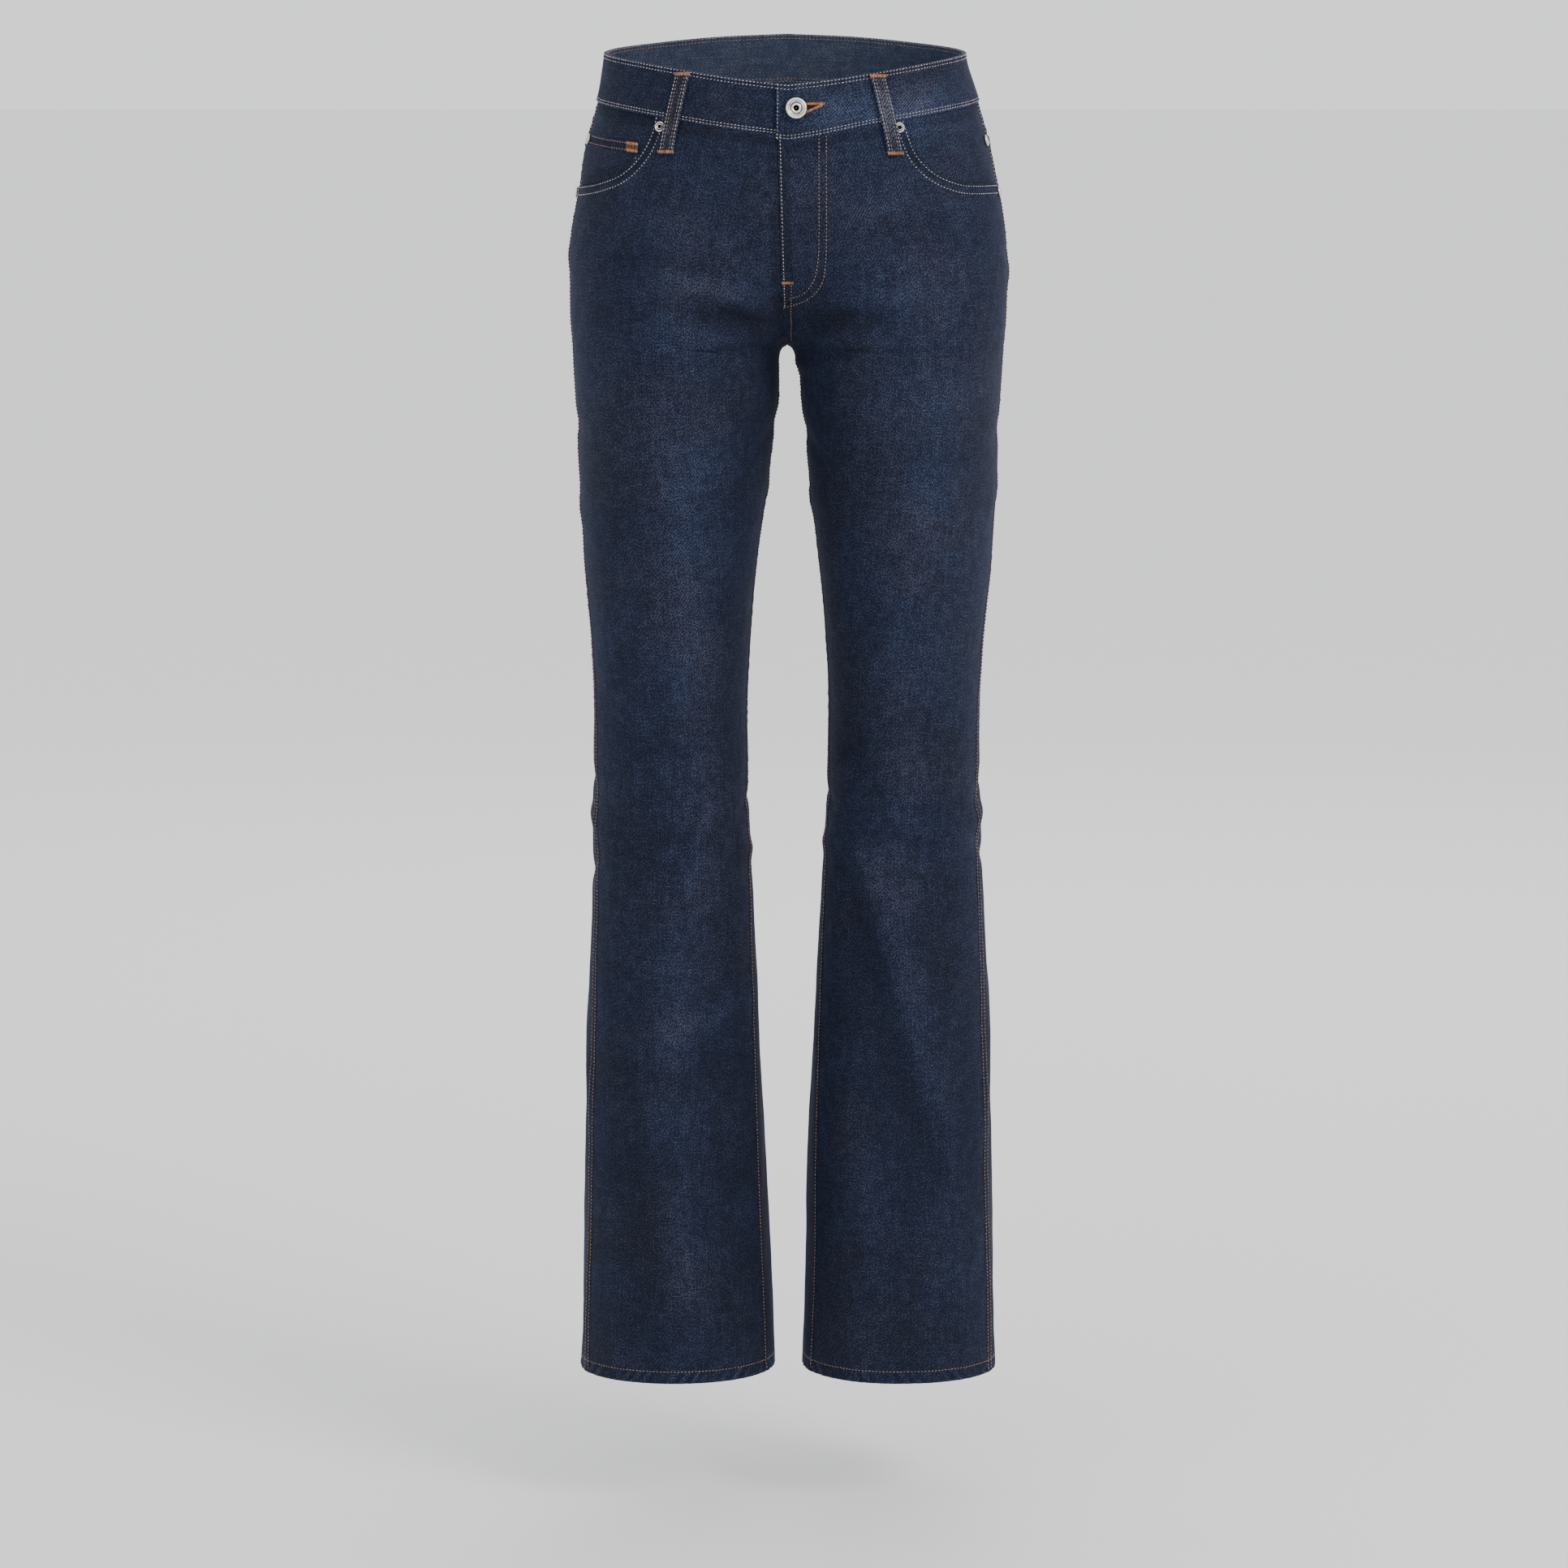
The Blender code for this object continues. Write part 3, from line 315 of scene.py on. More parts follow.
# Depths by height: front and back, distance of the fullest point from the middle, widest point and roundness
DEPTH = (
    ("z", "front_y", "back_y", "front_full_x", "back_full_x", "seam_y", "roundness"),
    (0.045, -0.091, 0.096, 0.0, 0.0, 0.004, 2.05), (0.0, -0.093, 0.099, 0.0, 0.0, 0.002, 2.05),
    (-0.04, -0.097, 0.106, 0.004, 0.01, 0.0, 2.1), (-0.08, -0.1, 0.116, 0.018, 0.04, -0.002, 2.15),
    (-0.12, -0.101, 0.121, 0.04, 0.066, -0.002, 2.2), (-0.16, -0.1, 0.121, 0.062, 0.078, 0.0, 2.2),
    (-0.2105, -0.098, 0.113, 0.082, 0.084, 0.002, 2.15), (-0.26, -0.096, 0.1, 0.09, 0.09, 0.002, 2.1),
    (-0.35, -0.09, 0.086, 0.094, 0.094, 0.0, 2.1), (-0.45, -0.08, 0.075, 0.095, 0.095, -0.002, 2.1),
    (-0.52, -0.073, 0.067, 0.095, 0.095, -0.002, 2.1), (-0.6, -0.069, 0.062, 0.095, 0.095, -0.002, 2.1),
    (-0.68, -0.066, 0.066, 0.095, 0.095, 0.0, 2.1), (-0.78, -0.064, 0.071, 0.094, 0.094, 0.002, 2.1),
    (-0.9, -0.066, 0.07, 0.093, 0.093, 0.002, 2.1), (-1.0575, -0.069, 0.068, 0.092, 0.092, 0.001, 2.1),
)
# How far forward of a leg's widest and innermost points its side seam and inseam run, for the fronts are cut narrower
FORWARD = (
    ("z", "outseam", "inseam"),
    (0.045, 0.0, 0.0), (-0.2, 0.0, 0.0), (-0.28, 0.0, 0.0), (-0.35, 0.004, 0.002), (-0.45, 0.012, 0.006),
    (-0.52, 0.017, 0.009), (-0.6, 0.02, 0.012), (-0.68, 0.022, 0.017), (-0.78, 0.024, 0.023), (-0.9, 0.025, 0.028),
    (-1.0575, 0.025, 0.029),
)
# The waistband's top edge by quarter turns from the centre front round to the centre back
BAND_TOP = (
    ("quarters", "z"),
    (0.0, 0.0), (0.2, 0.0045), (0.44, 0.0115), (0.7, 0.019), (1.0, 0.0255),
    (1.35, 0.032), (1.7, 0.038), (2.0, 0.0405),
)
# The pocket mouth's edge on each front panel, from the waistband seam to the side seam
MOUTH = (
    ("across_right", "z_right", "across_left", "z_left"),
    (0.104, -0.02, 0.0905, -0.02), (0.1075, -0.0364, 0.0957, -0.0377),
    (0.1183, -0.0568, 0.1041, -0.0562), (0.1329, -0.0705, 0.1154, -0.0679),
    (0.15, -0.0775, 0.1335, -0.0767), (0.169, -0.0815, 0.1705, -0.0795),
)
# The frame's folds and small creases, listed by the view that each is seen from: the places and heights of its
# ends in millimetres, and its half width, depth and bow in tenths of a millimetre
CREASE_UNITS = (1000, 1000, 1000, 1000, 10000, 10000, 10000)
CREASES = {
    "front": (
        # the frame's folds
        (-86, -178, -16, -190, 85, -50, 0), (12, -190, 77, -180, 85, -50, 0), (-110, -150, -26, -171, 100, 35, 0),
        (44, -172, 100, -174, 100, 35, 0), (-52, -212, -12, -205, 70, -35, 0), (12, -206, 52, -214, 70, -35, 0),
        (-140, -139, -48, -149, 120, -30, 0), (62, -118, 124, -110, 120, -30, 0), (-100, -122, -40, -128, 120, 22, 0),
        (46, -103, 134, -101, 120, 22, 0), (-110, -604, -52, -612, 110, -40, 0), (-60, -573, -78, -655, 120, 35, 0),
        (44, -526, 78, -577, 120, -40, 0), (60, -603, 128, -614, 110, -40, 0), (57, -615, 75, -652, 110, 30, 0),
        (-104, -772, -32, -742, 130, 35, 0), (-90, -690, -106, -860, 150, 40, 0), (-100, -900, -74, -1000, 150, 35, 0),
        (48, -640, 108, -862, 150, -45, 0), (74, -640, 116, -830, 140, 35, 0), (50, -826, 62, -915, 140, 35, 0),
        # crotch and lap
        (-14, -197, -75, -170, 45, -14, 40), (-18, -186, -62, -160, 40, 11, 30), (-20, -204, -90, -196, 50, 13, -30),
        (16, -200, 70, -172, 45, -14, -40), (22, -188, 64, -163, 40, 12, -30), (18, -205, 86, -198, 50, 13, 30),
        (-11, -214, -34, -240, 45, -13, 20), (12, -213, 36, -242, 45, -12, -20), (-20, -232, -52, -262, 60, 11, 30),
        (22, -230, 56, -258, 60, 10, -30), (-12, -60, -13.5, -150, 50, 9, 10), (-24, -84, -50, -90, 50, -9, 20),
        (-18, -124, -46, -136, 55, -11, 20), (36, -128, 70, -134, 50, -10, -20), (34, -62, 62, -72, 60, 8, -30),
        (-148, -22, -112, -36, 35, -9, 20), (-140, -104, -86, -110, 70, 10, 30), (90, -96, 150, -108, 65, -10, 30),
        (-152, -176, -108, -188, 70, -11, -30), (104, -178, 154, -170, 70, -11, 40),
        # thighs
        (-160, -232, -74, -262, 90, 12, 40), (-158, -282, -90, -306, 85, -10, -40), (66, -268, 158, -238, 95, 12, 40),
        (86, -318, 156, -292, 85, -10, -50), (-96, -300, -80, -450, 120, 12, 40), (104, -310, 88, -462, 120, 12, -40),
        (-140, -402, -98, -414, 65, -8, 30), (60, -396, 98, -412, 65, -8, 30),
        # knees
        (-130, -522, -70, -534, 65, -12, 50), (-122, -548, -62, -560, 60, 11, -40),
        (-148, -580, -112, -600, 50, -13, 30), (-138, -626, -86, -634, 60, -12, -50),
        (-100, -648, -52, -668, 65, 11, 30), (-60, -590, -40, -604, 40, -11, 10), (52, -556, 112, -546, 60, 11, 40),
        (46, -584, 86, -596, 45, -12, -30), (96, -582, 144, -574, 55, -12, 40), (78, -630, 136, -642, 60, -13, 40),
        (50, -640, 90, -664, 55, 11, 20), (108, -528, 148, -520, 60, -10, 20),
        # shins and hems
        (-132, -700, -82, -716, 80, 12, 40), (-60, -780, -44, -905, 90, -13, 30),
        (-128, -800, -118, -960, 100, -13, -40), (-86, -930, -94, -1050, 100, 13, 30),
        (66, -930, 56, -1050, 110, 12, -30), (128, -740, 138, -930, 100, 13, 40), (90, -900, 104, -1040, 110, -13, 40),
        (40, -700, 78, -720, 70, -10, 30), (-140, -930, -136, -1050, 80, 10, 20), (142, -950, 146, -1050, 80, 10, 20),
    ),
    "back": (
        # the frame's folds
        (-128, -236, -30, -226, 110, -45, 0), (30, -226, 128, -236, 110, -45, 0), (-120, -270, -36, -252, 110, -35, 0),
        (34, -256, 122, -272, 110, -35, 0), (-140, -585, -52, -600, 110, -50, 0), (-136, -622, -46, -612, 110, -45, 0),
        (50, -592, 140, -580, 110, -50, 0), (48, -608, 136, -626, 110, -45, 0), (-106, -700, -78, -900, 160, 35, 0),
        (80, -690, 108, -890, 160, 35, 0),
        # seat
        (-90, -222, -22, -214, 50, 14, 40), (22, -214, 92, -223, 50, 14, -40), (-116, -250, -40, -240, 50, 16, 50),
        (36, -241, 114, -252, 50, 16, -50), (-140, -290, -70, -276, 70, -14, 60), (66, -274, 136, -294, 70, -14, -60),
        (-15, -100, -16, -175, 60, -10, 20), (16, -90, 18, -168, 60, -10, -20), (-156, -120, -150, -200, 80, 11, 40),
        (156, -130, 150, -210, 80, 11, -40),
        # thighs
        (-148, -350, -80, -330, 90, -12, 60), (76, -336, 144, -360, 90, -12, -60), (-118, -420, -64, -440, 80, 10, 40),
        (70, -446, 128, -418, 80, 10, 40),
        # knees
        (-144, -528, -70, -545, 60, -22, 60), (-132, -556, -52, -566, 50, 19, -50),
        (-146, -598, -90, -588, 50, 18, 50), (-104, -628, -42, -640, 55, 18, 40),
        (-142, -650, -70, -642, 60, -19, -60), (66, -540, 142, -530, 60, -21, 60), (48, -570, 120, -556, 50, 19, 50),
        (86, -600, 148, -610, 50, 18, -40), (44, -636, 112, -630, 55, -18, 40), (64, -660, 140, -652, 60, 17, 50),
        # calves
        (-130, -720, -60, -735, 90, -14, 50), (56, -728, 126, -712, 90, -14, -50),
        (-60, -800, -52, -1040, 120, 14, 50), (-128, -860, -120, -1050, 110, -13, -40),
        (56, -820, 66, -1040, 120, 14, -50), (124, -880, 118, -1050, 110, -13, 40),
    ),
    "outer_left": (
        (-60, -130, 60, -160, 100, 16, 60), (70, -230, -40, -290, 100, -18, -60), (60, -300, -50, -350, 100, 14, 50),
        (55, -545, -30, -580, 70, -22, 60), (56, -590, -40, -598, 65, 20, 40), (54, -640, -30, -612, 70, -21, -60),
        (20, -720, -30, -860, 120, 16, 60), (-10, -900, 10, -1045, 120, -15, 40),
    ),
    "outer_right": (
        (-60, -140, 60, -120, 100, 16, 60), (70, -240, -40, -280, 100, -18, -60), (60, -320, -50, -362, 100, 14, 50),
        (55, -552, -30, -572, 70, -21, 60), (56, -584, -40, -604, 65, 20, 40), (54, -650, -30, -626, 70, -20, -60),
        (24, -730, -24, -850, 120, 16, 60), (-12, -910, 8, -1045, 120, -15, 40),
    ),
    "inner_left": (
        (60, -270, -50, -300, 90, -18, 60), (60, -350, -50, -330, 100, 15, 50), (52, -570, -30, -585, 70, -20, 50),
        (52, -620, -30, -608, 70, 18, -40), (10, -760, -14, -1000, 130, -13, 60),
    ),
    "inner_right": (
        (60, -262, -50, -292, 90, -18, 60), (60, -340, -50, -322, 100, 15, 50), (52, -576, -30, -590, 70, -20, 50),
        (52, -626, -30, -614, 70, 18, -40), (12, -770, -10, -990, 130, -13, 60),
    ),
}
# Where each view looks from: the axis that runs across it, the way the cloth faces there, and the side it holds for
VIEWS = {
    "front": (0, (0.0, -1.0, 0.0), 0),
    "back": (0, (0.0, 1.0, 0.0), 0),
    "outer_left": (1, (1.0, 0.0, 0.0), LEFT),
    "outer_right": (1, (-1.0, 0.0, 0.0), RIGHT),
    "inner_left": (1, (-1.0, 0.0, 0.0), LEFT),
    "inner_right": (1, (1.0, 0.0, 0.0), RIGHT),
}
# Wear: soft patches where the rinse and rubbing lighten the cloth, or leave it dark (below zero), by view: place,
# height, half width and half height in millimetres, and the amount in hundredths
WEAR_UNITS = (1000, 1000, 1000, 1000, 100)
WEAR = {
    "front": (
        (-85, -300, 30, 130, 14), (-78, -460, 24, 90, 11), (118, -290, 34, 150, 14), (92, -450, 26, 100, 8),
        (-70, -150, 40, 22, 12), (110, -150, 40, 26, 11), (-20, -100, 100, 50, 4), (80, -100, 50, 30, 7),
        (100, -20, 40, 18, 40), (30, -20, 40, 18, 30), (-70, -16, 50, 20, -3), (0, -880, 300, 260, -10),
        (-66, -620, 30, 50, 10), (80, -610, 36, 60, 10), (-86, -770, 18, 130, 8), (-80, -950, 18, 120, 8),
        (100, -740, 22, 110, 8), (70, -900, 20, 110, 8), (110, -980, 34, 70, 8), (-140, -60, 30, 30, -4),
        (-30, -185, 30, 14, -7), (30, -187, 30, 14, -7),
    ),
    "back": (
        (-80, -150, 50, 60, 22), (80, -150, 50, 60, 22), (-90, -350, 34, 120, 14), (90, -350, 34, 120, 14),
        (-90, -600, 40, 60, 12), (90, -600, 40, 60, 12), (-88, -820, 34, 140, 12), (88, -820, 34, 140, 12),
        (0, -10, 120, 20, 12),
    ),
    "outer_left": (
        (0, -250, 30, 120, 8), (0, -600, 30, 60, 8),
    ),
    "outer_right": (
        (0, -250, 30, 120, 8), (0, -600, 30, 60, 8),
    ),
}


def hermite(key, value, at):
    """A smooth curve through values at ascending keys, read at the given places."""
    slope = np.gradient(value, key)
    at = np.clip(at, key[0], key[-1])
    i = np.clip(np.searchsorted(key, at) - 1, 0, len(key) - 2)
    span = key[i + 1] - key[i]
    s = (at - key[i]) / span
    return (
        value[i] * (2 * s**3 - 3 * s**2 + 1)
        + slope[i] * span * (s**3 - 2 * s**2 + s)
        + value[i + 1] * (3 * s**2 - 2 * s**3)
        + slope[i + 1] * span * (s**3 - s**2)
    )


def smooth(table, name, at):
    """A smooth curve through a table's named column. The first row holds the names, and the first column the keys."""
    names, *rows = table
    columns = np.array(sorted(rows)).T
    return hermite(columns[0], columns[names.index(name)], at)


def walked(*coordinates):
    """Distance walked along a line of points."""
    steps = np.sqrt(sum(np.diff(values) ** 2 for values in coordinates))
    return np.concatenate([[0.0], np.cumsum(steps)])


def ease(x):
    """A step from 0 to 1 with soft ends."""
    x = np.clip(x, 0.0, 1.0)
    return x * x * (3.0 - 2.0 * x)


def leg_gap(side, z):
    """Distance of a leg's inner edge from the middle plane, with a round arch at the crotch."""
    below = np.clip((CROTCH_Z - z) / ARCH_HEIGHT, 0.0, 1.0)
    arch = SADDLE_HALF * np.sqrt(np.clip(1.0 - (1.0 - below) ** 2, 0.0, 1.0))
    return np.where(z < CROTCH_Z, np.maximum(arch, smooth(OUTLINE, "inner_" + SIDE[side], z)), 0.0)


def rise_share(face, z):
    """How far the rise seam has come round from the crotch (0) to the fullest depth (1) at each height."""
    height = FRONT_RISE_CURVE if face == FRONT else BACK_RISE_CURVE
    up = np.clip((z - CROTCH_Z) / height, 0.0, 1.0)
    return np.sqrt(1.0 - (1.0 - up) ** 2)


class Section:
    """Horizontal section of one side's front or back at each of an array of heights.

    Places on it are told by their distance along the cloth from the inner edge: the rise seam above the
    crotch and the inseam below it. A distance below zero lies over the centre front or back, on the other side.
    """

    def __init__(self, side, face, z):
        self.z = np.asarray(z, float)
        self.face = face
        self.outer = smooth(OUTLINE, "outer_" + SIDE[side], self.z)
        self.inner = leg_gap(side, self.z)
        edge_y = smooth(DEPTH, FACE[face] + "_y", self.z)
        self.full_x = np.maximum(smooth(DEPTH, FACE[face] + "_full_x", self.z), 0.0)
        self.seam_y = smooth(DEPTH, "seam_y", self.z)
        self.power = smooth(DEPTH, "roundness", self.z)
        self.outer_depth = abs(edge_y - self.seam_y)
        self.inner_depth = abs(edge_y - CROTCH_Y)
        saddle = np.maximum(SADDLE_HALF, self.inner)
        self.shift = saddle**2 - self.inner**2
        self.full_near = np.sqrt(self.full_x**2 + self.shift)
        rise = np.minimum(rise_share(face, self.z), 0.9995)
        width = (self.full_near - saddle) / (1.0 - rise**self.power) ** (1.0 / self.power)
        self.inner_width = np.maximum(width, 1e-6)
        turn = np.linspace(0.0, np.pi, ARC_SAMPLES)[None, :]
        across = self.inner[:, None] + (self.outer - self.inner)[:, None] * (0.5 - 0.5 * np.cos(turn))
        piece = np.hypot(np.diff(across, axis=1), np.diff(self.y_at(across), axis=1))
        self.walked = np.concatenate([np.zeros((len(piece), 1)), np.cumsum(piece, axis=1)], axis=1)
        self.length = self.walked[:, -1]

    def y_at(self, across):
        """The cloth's y at a distance from the middle plane, for a row of distances at each height."""
        grow = (slice(None), None) if across.ndim == 2 else slice(None)
        power, full_x = self.power[grow], self.full_x[grow]
        out = np.clip((across - full_x) / (self.outer[grow] - full_x), 0.0, 1.0)
        outer_bow = (1.0 - out**power) ** (1.0 / power)
        outer_y = self.seam_y[grow] + self.face * self.outer_depth[grow] * outer_bow
        near = np.sqrt(np.maximum(across**2 + self.shift[grow], 0.0))
        inward = np.clip((self.full_near[grow] - near) / self.inner_width[grow], 0.0, 1.0)
        inner_bow = (1.0 - inward**power) ** (1.0 / power)
        inner_y = CROTCH_Y + self.face * self.inner_depth[grow] * inner_bow
        return np.where(across >= full_x, outer_y, inner_y)

    def across_at(self, distance):
        """Distance from the middle plane of a place told by its distance along the cloth."""
        wanted = np.minimum(abs(distance), self.length)
        i = np.clip((self.walked < wanted[:, None]).sum(1) - 1, 0, ARC_SAMPLES - 2)
        row = np.arange(len(i))
        step = np.maximum(self.walked[row, i + 1] - self.walked[row, i], 1e-9)
        turn = (i + (wanted - self.walked[row, i]) / step) * np.pi / (ARC_SAMPLES - 1)
        return self.inner + (self.outer - self.inner) * (0.5 - 0.5 * np.cos(turn))

    def distance_to(self, across):
        """Distance along the cloth of a place told by its distance from the middle plane."""
        share = np.clip((across - self.inner) / (self.outer - self.inner), 0.0, 1.0)
        place = np.arccos(1.0 - 2.0 * share) * (ARC_SAMPLES - 1) / np.pi
        i = np.clip(place.astype(int), 0, ARC_SAMPLES - 2)
        row = np.arange(len(i))
        return self.walked[row, i] + (place - i) * (self.walked[row, i + 1] - self.walked[row, i])


def base_points(side, face, distance, z):
    """Smooth surface without folds at distances along the cloth and heights.

    Past the widest point, or short of a leg's innermost point, the cloth goes on round onto the other face.
    """
    near, far = Section(side, face, z), Section(side, -face, z)
    past = np.maximum(distance - near.length, 0.0)
    short = np.where(near.z < CROTCH_Z, np.maximum(-distance, 0.0), 0.0)
    turned = past + short > 0.0
    across = np.where(turned, far.across_at(np.where(past > 0.0, far.length - past, short)), near.across_at(distance))
    x = side * np.where(turned, 1.0, np.sign(distance)) * across
    y = np.where(turned, far.y_at(across), near.y_at(across))
    return np.stack([x, y, near.z], axis=1)


def seam_forward(face, name, z):
    """How much a panel gives up (front) or gains (back, below zero) at its outseam or inseam."""
    return -face * np.maximum(smooth(FORWARD, name, z), 0.0)


QUARTER = Section(LEFT, FRONT, [0.0]).length[0]
BAND_START = FLY_LAP_X / QUARTER
BAND_END = 4.0 + BAND_LAP / QUARTER + BAND_START


def fly_edge(z):
    """Place of the fly's edge, past the middle towards the wearer's right and back to the middle below."""
    back = ease((FLY_END_Z - z) / FLY_RETURN)
    return (FLY_LAP_X + (FLY_LOW_X - FLY_LAP_X) * np.clip(z / FLY_END_Z, 0.0, 1.0)) * (1.0 - back)


def fold_quarters(quarters):
    """Quarter turns from the centre front, the same on both sides."""
    return abs((np.asarray(quarters, float) + 2.0) % 4.0 - 2.0)


def band_top(quarters):
    """Height of the waistband's top edge at quarter turns from centre front (0) to centre back (2)."""
    return smooth(BAND_TOP, "z", fold_quarters(quarters))


def band_height(quarters):
    """Height of the waistband's strip, which leans more at the sides."""
    folded = fold_quarters(quarters)
    return BAND_HEIGHT * (1.0 - BAND_LEAN * np.minimum(folded, 2.0 - folded))


def band_bottom(quarters):
    """Height of the waistband's seam."""
    return band_top(quarters) - band_height(quarters)


def lap_drop(quarters):
    """How much lower the waistband's seam lies on the left front, beside the lap's end."""
    return LAP_DROP * ease(1.0 - np.asarray(quarters, float) / LAP_DROP_END)


def yoke_seam(share):
    """Height of the yoke seam from the centre back (0) to the side seam (1)."""
    return YOKE_BACK_Z + (YOKE_SIDE_Z - YOKE_BACK_Z) * np.asarray(share, float)


def seen(table, side, here, normal):
    """Each row of a table by view that holds for a side, with places across its view and how far the cloth faces it."""
    for view, rows in table.items():
        axis, facing, only = VIEWS[view]
        if only in (0, side):
            shows = np.clip(normal @ np.array(facing) * FOLD_TURN, 0.0, 1.0)
            for row in rows:
                yield here[:, axis], shows, row


def crease_height(side, here, normal):
    """What folds and creases add, each fading where the cloth turns away from its view."""
    total = np.zeros(len(here))
    for across, shows, row in seen(CREASES, side, here, normal):
        a0, z0, a1, z1, half_width, depth, bow = np.array(row) / CREASE_UNITS
        da, dz = a1 - a0, z1 - z0
        length = math.hypot(da, dz)
        a, z = across - a0, here[:, 2] - z0
        along = (a * da + z * dz) / length**2
        off = (a * dz - z * da) / length - 4.0 * bow * along * (1.0 - along)
        ends = ease((np.minimum(along, 1.0 - along) + FOLD_END) / (2.0 * FOLD_END))
        total += depth * ends * shows * np.exp(-((off / half_width) ** 2))
    return total


def unevenness(here):
    """The slight waviness that washed cloth keeps, from a few long waves across each other."""
    draw = np.random.default_rng(4)
    total = np.zeros(len(here))
    for wave_length in UNEVEN_WAVES:
        way = draw.normal(size=3)
        way *= 2.0 * np.pi / wave_length / np.linalg.norm(way)
        total += np.sin(here @ way + draw.uniform(0.0, 6.28))
    return UNEVEN_HEIGHT * total


def pucker(along, pitch, phase):
    """Uneven waves from -1 to 1 along a seam."""
    wander = 1.3 * np.sin(2.0 * np.pi * along / PUCKER_WANDER + phase)
    swell = 0.6 + 0.4 * np.sin(2.0 * np.pi * along / PUCKER_SWELL + 2.0 * phase)
    return np.sin(2.0 * np.pi * along / pitch + wander + phase) * swell


def seam_relief(side, face, distance, z, length):
    """Felled strips, puckers, roped hem and the fly's standing edge; and how far the puckers wear the cloth."""
    to_out = length - seam_forward(face, "outseam", z) - distance
    leg, rise = z < CROTCH_Z, z >= CROTCH_Z
    edge = side * fly_edge(z) if face == FRONT else np.zeros(z.shape)
    to_in = distance - np.where(leg, seam_forward(face, "inseam", z), edge)
    near_out = np.exp(-((to_out / PUCKER_REACH) ** 2))
    near_in = np.exp(-((to_in / PUCKER_REACH) ** 2))
    waves = near_out * pucker(-z, PUCKER_PITCH, 1.0 * side) + near_in * pucker(-z, 1.1 * PUCKER_PITCH, 2.0 * side)
    height = PUCKER_HEIGHT * waves
    strip_out, strip_in = ease((FELL_WIDTH - to_out) / STEP), ease((FELL_WIDTH - to_in) / STEP)
    if face == FRONT:
        height += FELL_HEIGHT * (strip_out + strip_in * leg)
        if side == LEFT:
            height += FELL_HEIGHT * strip_in * rise * ease((FLY_END_Z - z) / FLY_STRIP_START)
            over_end = ease((z - FLY_END_Z + FLY_STAND_END) / FLY_STAND_END)
            height += FLY_STAND * (ease(1.0 - to_in / FLY_STAND_WIDTH) * over_end) * rise
        else:
            over_end = ease((z - FLY_END_Z + FLY_STAND_END / 2) / FLY_STAND_END)
            height -= FLY_DIP * ease(1.0 - to_in / FLY_DIP_WIDTH) * rise * over_end
    elif side == LEFT:
        height += FELL_HEIGHT * strip_in * rise
    in_hem = ease((HEM_Z + HEM_FOLD - z) / HEM_STEP)
    rope = pucker(distance + ROPING_SLANT * (z - HEM_Z), ROPING_PITCH, 3.0 + side + 0.5 * face)
    height += in_hem * ROPING_HEIGHT * rope
    height -= HEM_GROOVE * np.exp(-(((z - HEM_Z - HEM_ROW) / HEM_GROOVE_WIDTH) ** 2))
    return height, waves + ROPING_WEAR * in_hem * rope


def wear_patches(side, here, normal):
    """How far rinsing and rubbing have lightened each place."""
    total = np.zeros(len(here))
    for across, shows, row in seen(WEAR, side, here, normal):
        a, z, half_width, half_height, amount = np.array(row) / WEAR_UNITS
        reach = ((across - a) / half_width) ** 2 + ((here[:, 2] - z) / half_height) ** 2
        total += amount * np.exp(-reach) * shows
    return total


def cloth(side, face, distance, z, lift=0.0, seams=True):
    """Finished cloth at distances and heights: its points, normals, the points of its inner side, and its wear."""
    distance, z, lift = np.broadcast_arrays(distance, z, lift)
    shape = distance.shape
    flat_d, flat_z, flat_lift = (values.ravel().astype(float) for values in (distance, z, lift))
    around = base_points(side, face, flat_d + SLOPE_STEP, flat_z)
    around -= base_points(side, face, flat_d - SLOPE_STEP, flat_z)
    # Away from the crotch a point keeps its distance from the side seam as the height changes
    change = Section(side, face, flat_z + SLOPE_STEP).length - Section(side, face, flat_z - SLOPE_STEP).length
    shift = 0.5 * change * ease(flat_d / INNER_REACH)
    up = base_points(side, face, flat_d + shift, flat_z + SLOPE_STEP)
    up -= base_points(side, face, flat_d - shift, flat_z - SLOPE_STEP)
    normal = np.cross(around, up) * -side * face
    normal /= np.maximum(np.linalg.norm(normal, axis=1, keepdims=True), 1e-12)
    here = base_points(side, face, flat_d, flat_z)
    folds = crease_height(side, here, normal) + unevenness(here)
    wear = WEAR_BASE + wear_patches(side, here, normal)
    wear = wear + np.clip(WEAR_ON_FOLDS * folds, -FOLD_WEAR_MOST, FOLD_WEAR_MOST)
    relief = 0.0
    if seams:
        relief, waves = seam_relief(side, face, flat_d, flat_z, Section(side, face, flat_z).length)
        wear = wear + WEAR_ON_PUCKERS * waves
    points = here + normal * (folds + relief + flat_lift)[:, None]
    inside = here + normal * (folds + flat_lift)[:, None]
    return points.reshape(shape + (3,)), normal.reshape(shape + (3,)), inside.reshape(shape + (3,)), wear.reshape(shape)


def spread(total, lines, cells):
    """Places across widths: close lines near both edges and even cells between; and each one's way to an edge."""
    total = np.atleast_1d(total)[:, None]
    lines = np.array(lines)[None, :]
    middle = lines[:, -1:] + (total - 2.0 * lines[:, -1:]) * np.linspace(0.0, 1.0, cells + 1)[None, 1:-1]
    places = np.concatenate([lines + 0.0 * total, middle, total - lines[:, ::-1]], axis=1)
    return places, np.minimum(places, total - places)


def edge_curl(to_edge, radius=EDGE_RADIUS):
    """How far a turned edge drops towards its rim."""
    near = radius - np.clip(to_edge, 0.0, radius)
    return -(radius - np.sqrt(radius**2 - near**2))


